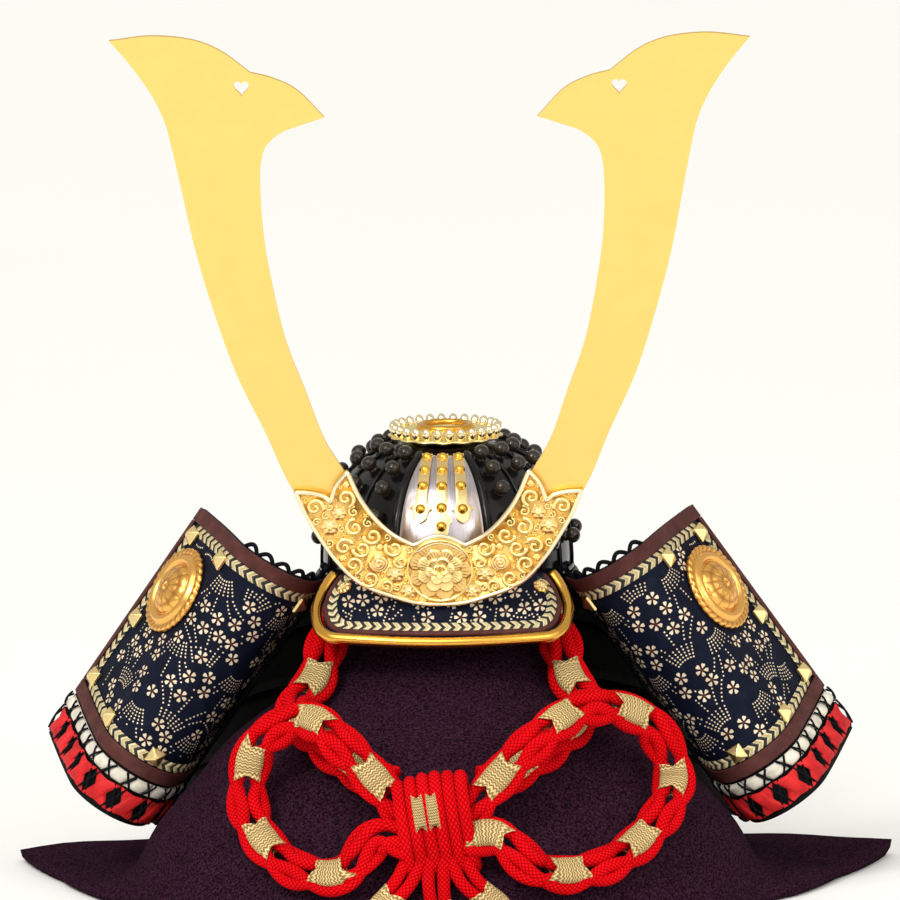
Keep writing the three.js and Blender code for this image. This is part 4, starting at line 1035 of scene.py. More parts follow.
@dataclass
class ChinCord:
    """The red chin cord: two hung ropes, a bow with two loops and a wrapped knot, and three tails."""

    bench: Bench
    mound: MoundForm
    tail_lift: float = 5.2
    hung: tuple[tuple[float, float, float], ...] = (
        (27, -12, 112), (27, -15, 103.5), (33, -26, 96.5), (38, -38, 88), (42, -50, 76),
    )
    laid: tuple[tuple[float, float, float], ...] = ((45, 63, 7.5), (36, 55, 7), (24, 49, 7), (14, 46, 7))
    loop_left: tuple[tuple[float, float, float], ...] = (
        (7.5, 33, 11.5), (15.5, 40, 17.5), (24, 48.5, 22.5), (37, 53, 22), (50, 49, 19), (57, 38, 12),
        (55, 28, 9), (44, 21, 5.9), (28, 20, 9), (17.5, 28, 12.5), (8, 28, 11),
    )
    loop_right: tuple[tuple[float, float, float], ...] = (
        (7.5, 33, 11.5), (15.5, 40, 17.5), (25, 49, 23), (42, 55, 22.5), (59, 51, 19), (69, 40, 12),
        (66, 29, 9), (52, 21, 6.1), (32, 20, 9), (17.5, 28, 12.5), (8, 28, 11),
    )
    knot_deep: float = 8.5
    knot_tall: float = 18.0
    knot_up: float = 35.0
    knot_lean: float = 9.0
    knot_turns: int = 6
    knot_pitch: float = 4.15

    def lay(self, points: Sequence[Sequence[float]], side: int = 1) -> Line:
        """Points on the cloth from x, height and rise."""
        return [self.mound.before(side * x, z, rise) for x, z, rise in points]

    def wrap(self) -> None:
        """The knot: braids bound around the loops' ends, leaning from upper left to lower right."""
        deep, tall = self.knot_deep, self.knot_tall
        middle = self.mound.before(0, self.knot_up - 2.5, deep + 0.8)
        c, s = cos(radians(self.knot_lean)), sin(radians(self.knot_lean))

        def spot(across: float, front: float, up: float) -> Vector:
            return middle + vec(across * c - up * s, -front, up * c + across * s)

        def gold(t: float, u: float) -> Vector:
            notch = 2.6 * (1 - abs(2 * abs(u) - 1)) if abs(t) > 0.8 else 0.0
            a = (t * 7.2 + 7.0 - copysign(notch, t)) / (tall - 1.6)
            puff = 0.5 + 1.7 * abs(arch(u)) ** 0.6 * (1 - 0.2 * abs(t))
            return spot(u * 4.6 - 2.1, cos(a) * (deep + 0.5) + puff, sin(a) * (tall - 1.0))

        angles = spread(radians(-150), radians(150), 38)
        shape = Shape()
        for k in range(self.knot_turns):
            offset = (k - (self.knot_turns - 1) / 2) * self.knot_pitch
            reach, high = deep - 1.9 + 1.6 * cos(offset / 12), tall - 1.6 - 0.12 * abs(offset)
            line = [spot(offset, cos(a) * reach, sin(a) * high) for a in angles]
            shape.tube(line, 2.15, 10, vec(1, 0.02, 0.02))
        self.bench.piece("knot_wrap", shape, RED_CORD, ["bow_knot"])
        rows = net(spread(-1.0, 1.0, 15), spread(-1.0, 1.0, 21), gold)
        inner = [[p + vec(0, 1.6, 0) for p in row] for row in rows]
        self.bench.piece("knot_gold", Shape().slab(rows, inner, (0.8, 14.4)), GOLD_THREAD)

    def tail(self, word: str, upper: Sequence[Sequence[float]], table: Sequence[Sequence[float]]) -> None:
        """One tail: two braids side by side that end in a tip bound with gold.

        Args:
            word: The tail's word in node names.
            upper: Its points on the cloth, as x, height and rise.
            table: Its points on the table, as x and y.
        """
        route = self.lay(upper) + [vec(x, y, self.tail_lift) for x, y in table]
        node = f"cord_tail_{word}"
        end = (route[-1] - route[-2]).normalized()
        profile = [(0.0, 1.2), (2.0, 1.0), (3.3, 0.2), (3.7, -1.2), (3.2, -3.0), (3.7, -4.6), (2.6, -5.4)]
        tip = self.bench.piece(f"tail_{word}_tip", Shape().turned(profile, route[-1], end, 16), GOLD_THREAD)
        pair = Rope(self.bench, f"tail_{word}", route, (node,), pairs=1, gap=0.5, start=0.3)
        gold = self.bench.piece(f"tail_{word}_gold", pair.sleeves(), GOLD_THREAD)
        for way, letter, ornament in ((-1, "a", tip), (1, "b", gold)):
            line = pair.path(0, way)
            shape = Shape().tube(line, pair.braid, pair.sides, pair.facing)
            braid = self.bench.piece(f"tail_{word}_{letter}", shape, RED_CORD, (node,))
            self.bench.cord(braid, even(line, 3.0), 2 * pair.braid, "knot", ornament)

    def build(self) -> None:
        """Makes every rope of the cord."""
        for side in Side:
            hung = [vec(side.value * x, y, z) for x, y, z in self.hung]
            route = hung + self.lay(self.laid, side.value)
            Rope(self.bench, f"chin_rope_{side.word}", route, (f"chin_cord_{side.word}",), start=0.15).build()
            table = self.loop_left if side is Side.LEFT else self.loop_right
            route = self.lay(table, side.value)
            Rope(self.bench, f"bow_{side.word}", route, (f"bow_loop_{side.word}",), start=0.4).build()
        self.wrap()
        self.tail("left", ((-6, 25, 8), (-10, 19, 5.4), (-17, 11, 5.2)), ((-25, -138), (-36, -143)))
        self.tail("middle", ((0, 24, 8), (0, 17, 5.5), (1, 10, 5.1)), ((3, -142), (6, -150)))
        self.tail("right", ((6, 25, 8), (10, 19, 5.4), (19, 11, 5.2)), ((29, -137), (42, -141)))


@dataclass
class DrapedCloth:
    """The crepe cloth over the stand, with its two side corners on the table."""

    bench: Bench
    mound: MoundForm
    steps: int = 144
    edge: float = 3.2
    flat: tuple[float, float] = (0.29, 0.29)

    def rings(self) -> Rows:
        """Rings of the cloth's face from its edge up to the crown pad."""
        form = self.mound
        line = smooth_line([vec(r * form.radius, h * form.top, f) for r, h, f in form.profile[3:]], 2.4)
        foot = form.profile[3][0] * form.radius
        start = form.profile[3][1] * form.top

        def low(share: float, j: int) -> Vector:
            return self.spot(j, lerp(form.radius, foot, share), share, start, 1.0)

        rows = net(spread(0.0, 1.0, 13), range(self.steps), low)
        upper = net(line[1:], range(self.steps), lambda p, j: self.spot(j, max(p.x, 0.01), 2.0, p.y, p.z))
        return rows + upper

    def narrowing(self, a: float, radius: float, y: float) -> float:
        """Share by which the stand under the cloth is narrower at a turn.

        Args:
            a: The turn around the mound.
            radius: Radius of the ring.
            y: Where the ring's middle lies.

        Returns:
            The share, read at the stand's own corners and straight between them.
        """
        form = self.mound
        place = a / (2 * pi) * form.corners - 0.5
        low = floor(place)
        ends = []
        for k in (low, low + 1):
            across = y + radius * sin(2 * pi * (k + 0.5) / form.corners)
            ends.append(ease(form.ease_from, form.ease_to, across))
        return form.back_ease * lerp(*ends, place - low)

    def spot(self, j: int, radius: float, share: float, height: float, forward: float) -> Vector:
        """One point of the cloth.

        Args:
            j: Its place in the ring.
            radius: Radius of the ring.
            share: 0 at the cloth's edge, 1 where the corners end, and 2 above that.
            height: Height of the ring, or of the first ring over the corners.
            forward: How far forward the ring lies, as a share.

        Returns:
            The point in helmet millimetres.
        """
        form = self.mound
        a = 2 * pi * j / self.steps
        y = -form.forward * forward
        turn = degrees(atan2(sin(a), abs(cos(a))))
        back = ease(-20, 40, turn)
        level = 1 - min(height / form.top, 1.0)
        fold = 0.35 * sin(a * 9 + 0.6) + 0.3 * sin(a * 14 + 1.9)
        radius -= back * level**2 * (0.65 + fold) * (1 if share == 2.0 else share)
        place = polar(radius, a, height) + vec(0, y)
        place.x *= 1 - self.narrowing(a, radius, y)
        if share < 2.0:
            off = abs(turn - form.flap_turn)
            flap = form.flap_reach * max(0.0, 1 - off / form.flap_half_angle) ** 1.25
            reach = flap * (1 - share) ** 1.5
            place += polar(reach, a)
            rise = lerp(self.edge, height, share**1.6)
            curl = (1.8 if cos(a) > 0 else 0.6) * ease(20, 52, reach)
            wave = 0.5 * sin(a * 22) * (flap / form.flap_reach) * (1 - share)
            place.z = rise + curl + wave
        return place

    def build(self) -> None:
        rows = self.rings()
        middle = sum(rows[0], Vector()) / len(rows[0])
        under = [[p + (middle - p) * 0.004 + vec(0, 0, -0.45 * self.edge - p.z * 0.25) for p in rows[0]]]
        hem = [[vec(p.x * 0.985, p.y * 0.985 - 0.2, 0.05) for p in rows[0]]]
        shape = Shape().sheet(hem + under + rows, wrap=True)
        cloth = self.bench.piece("draped_cloth", shape, PURPLE_CREPE, ["stand_cloth"])
        self.bench.dress_node("stand_core", STAND_WOOD)


@dataclass
class Bowl:
    """The ridged and riveted bowl with its front plate, strips and crown fitting."""

    bench: Bench
    form: BowlForm
    gores: int = 16
    levels: tuple[float, ...] = (0.12, 0.28, 0.44, 0.58, 0.71)
    plate_levels: tuple[float, float] = (0.1, 0.74)
    plate_lift: float = 1.2
    strip_lift: float = 2.3
    strip_width: float = 3.8
    strip_head: float = 0.72
    strip_feet: tuple[float, float] = (0.18, 0.26)
    strip_steps: tuple[float, float] = (5.4, 7.6)
    crown_radius: float = 18.6
    ring_radius: float = 8.3
    ring_wire: float = 1.25

    def shell(self) -> None:
        """The iron bowl, its thin ridges and the two broad ones beside the front plate."""
        form, levels = self.form, spread(0.0, 1.0, 30)
        around = [360 * j / 128 for j in range(128)]
        outer = net(levels[::-1], around, lambda level, a: form.point(a, level))
        inner = net(levels, around, lambda level, a: form.point(a, level, -form.wall))
        for p in inner[0]:
            p.z = form.rim
        shape = Shape().sheet(outer + inner, wrap=True)
        step = 360 / self.gores
        for i in range(1, self.gores):
            radius, lift = (1.5, 0.75) if i in (1, self.gores - 1) else (0.62, 0.35)
            line = [form.point(i * step, level, lift) for level in spread(0.005, 0.76, 34)]
            shape.tube(line, radius, 10, vec(0, 0, 1))
        shape.tube([form.point(a, 0.004, 0.2) for a in around], 0.9, 8, vec(0, 0, 1), closed=True)
        self.bench.piece("bowl_shell", shape, BLACK_LACQUER, ["bowl"])

    def stars(self) -> None:
        """The star rivets: plump heads on short necks, each on a small washer."""
        profile = [(1.8, -0.4), (1.8, 0.2), (1.5, 0.4), (1.7, 0.75), (2.3, 1.3), (2.62, 2.1), (2.6, 2.9)]
        profile += [(2.2, 3.8), (1.5, 4.45), (0.7, 4.8), (0.0, 4.88)]
        shape = Shape()
        step = 360 / self.gores
        rng = random.Random(11)
        for i in range(1, self.gores - 1):
            for level in self.levels:
                a = (i + 0.5) * step
                tilt = Vector([rng.uniform(-most, most) for most in (0.05, 0.05, 0.04)])
                shape.turned(profile, self.form.point(a, level), self.form.normal(a, level) + tilt, 18)
        self.bench.piece("bowl_stars", shape, STAR_LACQUER)

    def plate(self) -> None:
        """The polished front plate."""

        def point(t: float, level: float, lift: float) -> Vector:
            half = 360 / self.gores - degrees(1.7 / self.form.point(0, level).xy.length)
            return self.form.point(half * t, level, lift)

        shape = Shape().plate(point, spread(*self.plate_levels, 26), spread(-1, 1, 21), self.plate_lift, 0.3)
        self.bench.piece("steel_plate", shape, POLISHED_STEEL, ["front_plate"], 0.25)

    def strip_half(self, along: float) -> float:
        """Half-width of a strip in millimetres at a share down it."""
        half = self.strip_width / 2
        t = (along - 0.76) / 0.24
        if along < 0.76:
            return half
        if t < 0.3:
            return lerp(half, half * 2.05, ease(0, 0.3, t) ** 1.6)
        if t < 0.42:
            return lerp(half * 2.05, half * 1.45, (t - 0.3) / 0.12)
        if t < 0.75:
            return lerp(half * 1.45, half * 1.2, (t - 0.42) / 0.33)
        return half * 1.2 * max(0.03, cos((t - 0.75) / 0.25 * pi / 2)) ** 0.8

    def strips(self) -> None:
        """The three gilt strips and their dome rivets."""
        dome = [(1.75, -0.2), (1.75, 0.15), (1.45, 0.35), (1.3, 0.85), (0.85, 1.25), (0.35, 1.42), (0.0, 1.45)]
        middle, outer = (0.06, 0.26, 0.46, 0.7, 0.88), (0.07, 0.3, 0.54, 0.84)
        rivets = Shape()
        for side, word, places in ((0, "centre", middle), (-1, "left", outer), (1, "right", outer)):
            foot = self.strip_feet[abs(side)]

            def at(across: float, along: float, lift: float) -> Vector:
                level = lerp(self.strip_head, foot, along)
                x = side * lerp(*self.strip_steps, along) + across
                return self.form.point(degrees(x / self.form.point(0, level).xy.length), level, lift)

            def point(t: float, along: float, lift: float) -> Vector:
                return at(self.strip_half(along) * t, along, lift)

            lift = self.strip_lift
            shape = Shape().plate(point, spread(0, 1, 61), spread(-1, 1, 5), lift, lift - 0.8)
            self.bench.piece(f"gilt_strip_{word}", shape, PALE_GOLD, [f"strip_{word}"], 0.16)
            for along in places:
                rivets.turned(dome, at(0, along, lift), at(0, along, 1) - at(0, along, 0), 16)
        self.bench.piece("strip_rivets", rivets, RIVET_GOLD)

    def crown(self) -> None:
        """The crown fitting: a scalloped disc, petals, a row of beads, a collar and the open ring."""
        base, top = self.form.rim + self.strip_lift + 0.3, self.form.rim + self.form.height
        rings = turns(168)

        def over(radius: float) -> float:
            return base + self.form.height_at(radius)

        def petals(share: float, a: float) -> tuple[Vector, float]:
            r = lerp(6.6, self.crown_radius * (1 + 0.022 * cos(16 * a)), share)
            petal = abs(cos(12 * a))
            relief = 1.25 * petal**0.55 * arch(clamp((share - 0.1) / 0.72)) ** 0.6
            # The second value is the height tone, which paints shade between the petals.
            return polar(r, a, over(r) + 0.9 + relief), 0.25 + 0.75 * petal**0.7 if share < 0.86 else 0.9

        cells = net(spread(0.0, 1.0, 25), rings, petals)
        rows, tones = ([[cell[i] for cell in row] for row in cells] for i in (0, 1))
        rows.append([vec(p.x * 0.995, p.y * 0.995, over(hypot(p.x, p.y) * 0.995)) for p in rows[-1]])
        rows.append([polar(6, a, over(6)) for a in rings])
        # The rim and inner rows get a middle tone of painted shade.
        shape = Shape().sheet(rows, wrap=True, flip=True, tones=tones + [[0.5] * len(rings)] * 2)
        collar = [(11.6, 1.2), (11.2, 3.2), (10.6, 3.9), (9.9, 4.2), (7.0, 4.2), (6.8, 2.0), (0.0, 1.9)]
        shape.turned(collar, vec(0, 0, top - 0.4), vec(0, 0, 1), 64)
        self.bench.piece("crown_petals", shape, CAST_GOLD, ["crown_disc"])
        beads = Shape()
        bead = [(0.0, -1.5), (0.9, -1.2), (1.5, -0.3), (1.6, 0.5), (1.25, 1.3), (0.6, 1.75), (0.0, 1.85)]
        r = self.crown_radius - 1.7
        for a in turns(28, 0.5):
            beads.turned([(q, h * 1.5) for q, h in bead], polar(r, a, over(r) + 2.0), polar(0.35, a, 1), 12)
        self.bench.piece("crown_beads", beads, SILVER_GILT)
        ring = [polar(self.ring_radius, a, top + 4.45) for a in turns(72)]
        shape = Shape().tube(ring, self.ring_wire, 16, vec(0, 0, 1), closed=True)
        self.bench.piece("crown_loop", shape, DEEP_GOLD, ["crown_ring"])

    def build(self) -> None:
        """Makes the whole bowl."""
        self.shell()
        self.stars()
        self.plate()
        self.strips()
        self.crown()


def ribbon(surface: Surface, total: float, width: float, pitch: float, dark: bool) -> Shape:
    """A flat braid of Vs along a line on a surface.

    Args:
        surface: Point, across direction and outward direction at a length along the line.
        total: Length of the braid.
        width: Its width.
        pitch: Length of one V.
        dark: True for the dark strand, False for the cream one.

    Returns:
        The strand's shape.
    """
    shape = Shape()
    thick, delay, rise = (0.36, 0.6, 0.35) if dark else (0.6, 0.0, 0.6)
    for k in range(int(total / pitch) + 1):
        for way in (-1, 1):

            def spot(share: float, cross: float) -> Vector:
                at = k * pitch + pitch * delay + pitch * thick * share - width * 0.45 * cross
                point, across, out = surface(clamp(at, 0.0, total))
                lift = 0.1 + rise * arch(share) * arch(0.12 + 0.8 * cross)
                return point + across * (way * cross * width / 2) + out * lift

            shape.sheet(net((0.0, 0.5, 1.0), (0.0, 0.35, 0.7, 1.0), spot), flip=way < 0)
    return shape


def braid_pair(bench: Bench, name: str, points: Line, outs: Line, width: float, pitch: float) -> None:
    """Adds both strands of a flat braid and the dark ground under them.

    Args:
        bench: Where the pieces are made.
        name: First part of their names.
        points: The braid's middle line on the surface.
        outs: Outward direction at each point.
        width: Width of the braid.
        pitch: Length of one V.
    """
    marks = [0.0, *accumulate((b - a).length for a, b in zip(points, points[1:]))]
    dirs, total = tangents(points), marks[-1]

    def surface(at: float) -> tuple[Vector, Vector, Vector]:
        i = 0
        while i < len(marks) - 2 and marks[i + 1] < at:
            i += 1
        t = clamp((at - marks[i]) / max(marks[i + 1] - marks[i], 1e-9))
        point, out, way = (table[i].lerp(table[i + 1], t) for table in (points, outs, dirs))
        return point, way.normalized().cross(out.normalized()).normalized(), out.normalized()

    rows = []
    for k in range(int(total / 1.5) + 1):
        point, across, out = surface(min(k * 1.5, total))
        rows.append([point + across * (t * width * 0.46) + out * 0.12 for t in (-1, 0, 1)])
    bench.piece(name + "_light", ribbon(surface, total, width, pitch, False), CREAM_BRAID)
    bench.piece(name + "_dark", ribbon(surface, total, width, pitch, True).sheet(rows), DARK_BRAID)


@dataclass
class BlossomPrint:
    """The leather's print: clusters of small blossoms over fans of dots."""

    dot: float = 0.32
    petal: float = 2.25
    cell: tuple[float, float] = (13.0, 26.0)
    seed: int = 5
    clear: tuple[float, float, float] = (4.75, 0.95, 2.9)
    dots: Pairs = field(default_factory=list)
    blossoms: list[tuple[float, float, float]] = field(default_factory=list)
    # Distance from the fan's foot and turn from its aim of each blossom.
    places: tuple[tuple[float, float], ...] = (
        (16.6, -44), (21.3, -25), (18.2, -10), (22.6, 2), (17.4, 26), (21.6, 30), (14.2, 42),
        (12.6, -52), (25.4, -12),
    )
    leaf: tuple[tuple[float, float], ...] = (
        (0.5, 0.0), (1.0, 0.34), (1.55, 0.6), (1.95, 0.48), (2.02, 0.16), (1.86, 0.0), (2.02, -0.16),
        (1.95, -0.48), (1.55, -0.6), (1.0, -0.34),
    )

    def fan(self, x: float, y: float, aim: float) -> None:
        """One fan of dots with its blossoms, from a foot at (x, y) towards an angle."""
        def spot(r: float, turn: float) -> tuple[float, float]:
            return x + r * sin(turn), y + r * cos(turn)

        for j in range(-3, 4):
            bend = radians(8.5 * j)
            self.dots += [spot(7.0 + 1.15 * i, aim + bend) for i in range(5)]
            if j % 2 == 0 or abs(j) == 3:
                self.dots += [spot(7.0 + 1.3 * i, aim + bend * (1 + 0.06 * (i - 5))) for i in range(5, 11)]
        for r, turn in self.places:
            angle = aim + radians(turn)
            self.blossoms.append((*spot(r, angle), angle * 3))

    def fill(self, width: float, height: float) -> None:
        """Covers a field with staggered fans and drops what lies in another's way."""
        rng = random.Random(self.seed)
        for i in range(-1, int(width / self.cell[0]) + 2):
            for j in range(-1, int(height / self.cell[1]) + 2):
                x = (i + 0.3) * self.cell[0] + rng.uniform(-0.8, 0.8)
                y = (j + (0.5 if i % 2 else 0.0)) * self.cell[1] + rng.uniform(-0.8, 0.8)
                self.fan(x, y, (0.0 if i % 2 else pi) + rng.uniform(-0.3, 0.3))
        apart, dot_apart, dot_clear = self.clear
        kept: list[tuple[float, float, float]] = []
        for b in self.blossoms:
            if all(hypot(b[0] - k[0], b[1] - k[1]) > apart for k in kept):
                kept.append(b)
        self.blossoms = kept
        spots: dict[tuple[int, int], Pairs] = {}
        clear = []
        for x, y in self.dots:
            i, j = int(x // 2), int(y // 2)
            near = [q for a in (-1, 0, 1) for b in (-1, 0, 1) for q in spots.get((i + a, j + b), [])]
            crowded = any(hypot(x - q[0], y - q[1]) < dot_apart for q in near)
            if not crowded and all(hypot(x - k[0], y - k[1]) >= dot_clear for k in kept):
                spots.setdefault((i, j), []).append((x, y))
                clear.append((x, y))
        self.dots = clear

    def lay(
        self, bench: Bench, names: Sequence[str], place: Ground, inside: Callable[[float, float], bool],
        flip: bool = False,
    ) -> None:
        """Lays the print on a surface.

        Args:
            bench: Where the pieces are made.
            names: Names of the cream print and of the red-brown hearts of the blossoms.
            place: Point of the surface from across, along and lift.
            inside: Tells whether a spot belongs to the field.
            flip: True where the surface's faces are turned over.
        """
        cream, hearts = Shape(), Shape()
        for x, y in self.dots:
            if inside(x, y):
                ring = [polar(self.dot, a) for a in turns(7)]
                cream.add([place(x + p.x, y + p.y, 0.07) for p in ring], [range(7)])
        for x, y, turn in self.blossoms:
            if not inside(x, y):
                continue
            for a in turns(5):
                c, s = (f(turn + a) * self.petal / 2.02 for f in (cos, sin))
                corners = [place(x + u * c - v * s, y + u * s + v * c, 0.07) for u, v in self.leaf]
                corners.append(place(x + 1.4 * c, y + 1.4 * s, 0.1))
                n = len(self.leaf)
                cream.add(corners, [(i, (i + 1) % n, n) for i in range(n)])
            hearts.add([place(x + 0.62 * cos(a), y + 0.62 * sin(a), 0.05) for a in turns(8)], [range(8)])
        for name, shape, finish in zip(names, (cream, hearts), (CREAM_PRINT, BUD_RED)):
            bench.piece(name, shape.mirror() if flip else shape, finish)


@dataclass
class VisorForm:
    """The visor's surface and outline, in helmet millimetres."""

    half_width: float = 39.5
    above: float = 4.0
    below: float = 12.5
    reach: float = 15.0
    flatness: float = 84.0
    slope: float = 21.0
    rim_z: float = 105.0
    seat_width: float = 45.8
    seat_depth: float = 48.8
    outline: tuple[tuple[float, float], ...] = (
        (0.0, 0.84), (0.15, 0.9), (0.35, 0.96), (0.6, 1.0), (0.8, 0.985), (0.93, 0.94), (1.0, 0.86),
    )

    def point(self, across: float, along: float, lift: float = 0.0) -> Vector:
        """Point of the visor from across (-1 to 1) and along (0 to 1), raised by a lift."""
        x = across * self.half_width
        seat = self.seat_depth * sqrt(max(1 - (x / self.seat_width) ** 2, 0.0))
        edge = (self.seat_depth + self.reach) * sqrt(1 - (x / self.flatness) ** 2)
        y = lerp(seat, edge, max(along, 0.0) ** 0.85)
        p = vec(x, -y, self.rim_z + lerp(self.above, -self.below, along))
        return p + self.normal(across, along) * lift if lift else p

    def normal(self, across: float, along: float) -> Vector:
        """Outward direction of the visor."""
        along = max(along, 0.04)
        right = self.point(across + 0.01, along) - self.point(across - 0.01, along)
        down = self.point(across, along + 0.01) - self.point(across, along - 0.01)
        out = right.cross(down).normalized()
        return out if out.y < 0 else -out

    def half(self, along: float) -> float:
        """Half-width share at a share down the visor."""
        return read_table(self.outline, 0, along, 1)

    def edge(self, inset: float) -> Pairs:
        """The free edge set in by a distance, as across and along pairs from upper left to upper right."""
        deep, shrink, cut = inset / self.slope, inset / self.half_width, 0.06
        side = [(self.half(t * (1 + deep)) - shrink, t) for t in spread(0.06, 1 - deep, 12)]
        foot = side[-1][0]
        left = [(-h, t) for h, t in side]
        middle = [(x, 1 - deep) for x in spread(-foot + cut, foot - cut, 22)]
        return left + middle + [(-x, t) for x, t in left[::-1]]


@dataclass
class Visor:
    """The visor: printed leather, a flat braid, a brown edge, a gilt tube and two rosettes."""

    bench: Bench
    form: VisorForm
    thickness: float = 1.6
    rim_radius: float = 1.9
    print_half: float = 40.0

    def leather(self) -> None:
        """The leather-covered plate and its print."""
        form = self.form

        def surface(t: float, along: float, lift: float) -> Vector:
            return form.point(form.half(along) * t, along, lift)

        shape = Shape().plate(surface, spread(0, 1, 22), spread(-1, 1, 61), 0.0, -self.thickness)
        self.bench.piece("visor_leather", shape, PRINTED_LEATHER, ["visor"], 0.3)
        prints = BlossomPrint(seed=9, cell=(9.0, 15.0))
        prints.fill(2 * self.print_half, 24)

        def place(x: float, y: float, lift: float) -> Vector:
            return form.point((x - self.print_half) / form.half_width, y / form.slope, lift)

        def inside(x: float, y: float) -> bool:
            along = y / form.slope
            return 0.12 < along < 0.74 and abs(x - self.print_half) / form.half_width < form.half(along) - 0.17

        prints.lay(self.bench, ("visor_print", "visor_buds"), place, inside)

    def edging(self) -> None:
        """The braid and the brown leather edge inside the tube."""
        form = self.form
        fine, line = (
            smooth_line([form.point(a, t, lift) for a, t in form.edge(inset)], 1.0)
            for inset, lift in ((3.2, 0.1), (1.1, 0.15))
        )
        outs = [form.normal(p.x / form.half_width, 0.5) for p in fine]
        braid_pair(self.bench, "visor_braid", fine, outs, 3.5, 3.3)
        shape = Shape().tube(line, 0.95, 8, vec(0, -0.9, 0.5), squash=0.6)
        self.bench.piece("visor_brown_edge", shape, BROWN_LEATHER)

    def rim(self) -> None:
        """The gilt tube around the free edge."""
        form = self.form
        off = self.rim_radius + 0.5
        points: Line = []
        for across, along in form.edge(0.0):
            p = form.point(across, along)
            points.append(p + (p - form.point(across * 0.9, along * 0.86 + 0.03)).normalized() * off)
        line = smooth_line(points, 1.2)
        for _ in range(3):
            line = [line[0]] + [(a + b * 2 + c) / 4 for a, b, c in zip(line, line[1:], line[2:])] + [line[-1]]
        shape = Shape().tube(line, self.rim_radius, 16, vec(0, -0.8, 0.6))
        self.bench.piece("visor_tube", shape, DEEP_GOLD, ["visor_rim"])

    def rosettes(self) -> None:
        """The two rosette rivets."""
        shape = Shape()
        nodes = []
        for side in Side:
            spot = side.value * 0.82, 0.22
            axis = self.form.normal(*spot)
            flower(shape, self.form.point(*spot) + axis * 0.3, axis, 2.9, 1.5, 8)
            nodes.append(f"visor_rosette_{side.word}")
        self.bench.piece("visor_rosettes", shape, PALE_GOLD, nodes)

    def build(self) -> None:
        """Makes the whole visor."""
        self.leather()
        self.edging()
        self.rim()
        self.rosettes()


def flower(shape: Shape, place: Vector, axis: Vector, radius: float, rise: float, petals: int) -> None:
    """Adds a small round flower rivet with a raised heart to a shape."""
    def form(share: float, a: float) -> tuple[float, float, float]:
        lobe = abs(cos(petals * a / 2))
        z = rise * (0.45 * arch(min(share * 1.05, 1)) ** 0.7 * (0.55 + 0.45 * lobe))
        z += rise * 0.62 * max(0.0, 1 - (share / 0.36) ** 2) ** 0.5
        # The height tone paints shade where the flower is low.
        return radius * share * (1 - 0.09 * (1 - lobe) * share), z, min(z / rise * 1.6, 1.0)

    # The skirt's tone of 0.1 is painted shade under the flower's edge.
    shape.boss(place, axis, (14, petals * 6), (0.5, 0.1), form)


# Count, inner and outer edge, lift and turn of each ring of the peony's petals.
PEONY = (
    (9, 0.42, 0.93, 0.9, 0.0), (8, 0.22, 0.68, 1.5, 0.4), (6, 0.05, 0.42, 2.1, 0.9), (5, 0.0, 0.2, 2.6, 0.3),
)


def peony(share: float, a: float) -> tuple[float, float, float]:
    """The layered blossom of the base's medallion.

    Args:
        share: Share of the radius.
        a: Angle around the middle.

    Returns:
        Share of the radius, height and height tone, which paints shade where the figure is low.
    """
    if share > 0.93:
        return share, 1.5 * sin(pi * (1 - share) / 0.07 * 0.5 + 0.25), 0.9
    z = 0.35
    for petals, inner, outer, lift, shift in PEONY:
        lobe = abs(cos(petals * (a + shift) / 2))
        edge = outer * (0.8 + 0.2 * lobe**0.6)
        if share < edge:
            t = (edge - share) / max(edge - inner, 0.01)
            crease = 0.1 * cos(petals * 5 * (a + shift)) * min(t * 3, 1)
            z = max(z, lift * (1 - 0.45 * min(t, 1)) * (0.62 + 0.38 * lobe**0.5) + crease * 0.6)
    return share, z, clamp((z - 0.35) / 1.5)


def dome(share: float, a: float) -> tuple[float, float, float]:
    """The ringed dome with a serrated edge of the turnbacks' medallions.

    Args:
        share: Share of the radius.
        a: Angle around the middle.

    Returns:
        Share of the radius, height and height tone, which paints shade where the figure is low.
    """
    if share > 0.86:
        rope = 0.5 + 0.5 * sin(34 * a + share * 30)
        z = 0.5 + 0.75 * arch((1 - share) / 0.14) ** 0.7 * (0.55 + 0.45 * rope)
        return share * (1 + 0.018 * rope * (share - 0.86) / 0.14), z, 0.35 + 0.65 * rope
    if share > 0.6:
        t = (share - 0.6) / 0.26
        return share, 0.5 + 1.7 * arch(t) ** 0.8, 0.3 + 0.7 * arch(t) ** 0.5
    lobe, ring = abs(cos(6 * a)), abs(cos(3.5 * pi * share))
    z = 0.2 + 3.9 * sqrt(max(0.0, 1 - (share / 0.6) ** 2)) + 0.4 * ring * lobe**0.6
    return share, z, 0.15 + 0.85 * (0.3 + 0.7 * ring) * lobe**0.5 if share > 0.08 else 1.0


def medallion(place: Vector, axis: Vector, radius: float, form: Figure) -> Shape:
    """A round relief medallion.

    Args:
        place: Middle of its foot.
        axis: Its outward direction.
        radius: Its radius.
        form: Its figure, peony or dome.

    Returns:
        The medallion.
    """
    def spot(share: float, a: float) -> tuple[float, float, float]:
        r, z, tone = form(share, a)
        return radius * r, max(z, 0.1), tone

    # The skirt's tone of 0.2 is painted shade under the medallion's edge.
    return Shape().boss(place, axis, (46, 180), (1.1, 0.2), spot)


def cornered(points: Pairs, sharp: Sequence[int], step: float) -> Pairs:
    """A closed outline that is smooth except at its sharp corners.

    Args:
        points: The outline's points.
        sharp: Places of its sharp corners, in order.
        step: Distance between the returned points.

    Returns:
        The outline's points, without a repeated last one.
    """
    out: Pairs = []
    n = len(points)
    for a, b in zip(sharp, [*sharp[1:], sharp[0] + n]):
        run = [vec(*points[i % n]) for i in range(a, b + 1)]
        line = smooth_line(run, step) if len(run) > 2 else even(run, step)
        out += [(p.x, p.y) for p in line[:-1]]
    return out


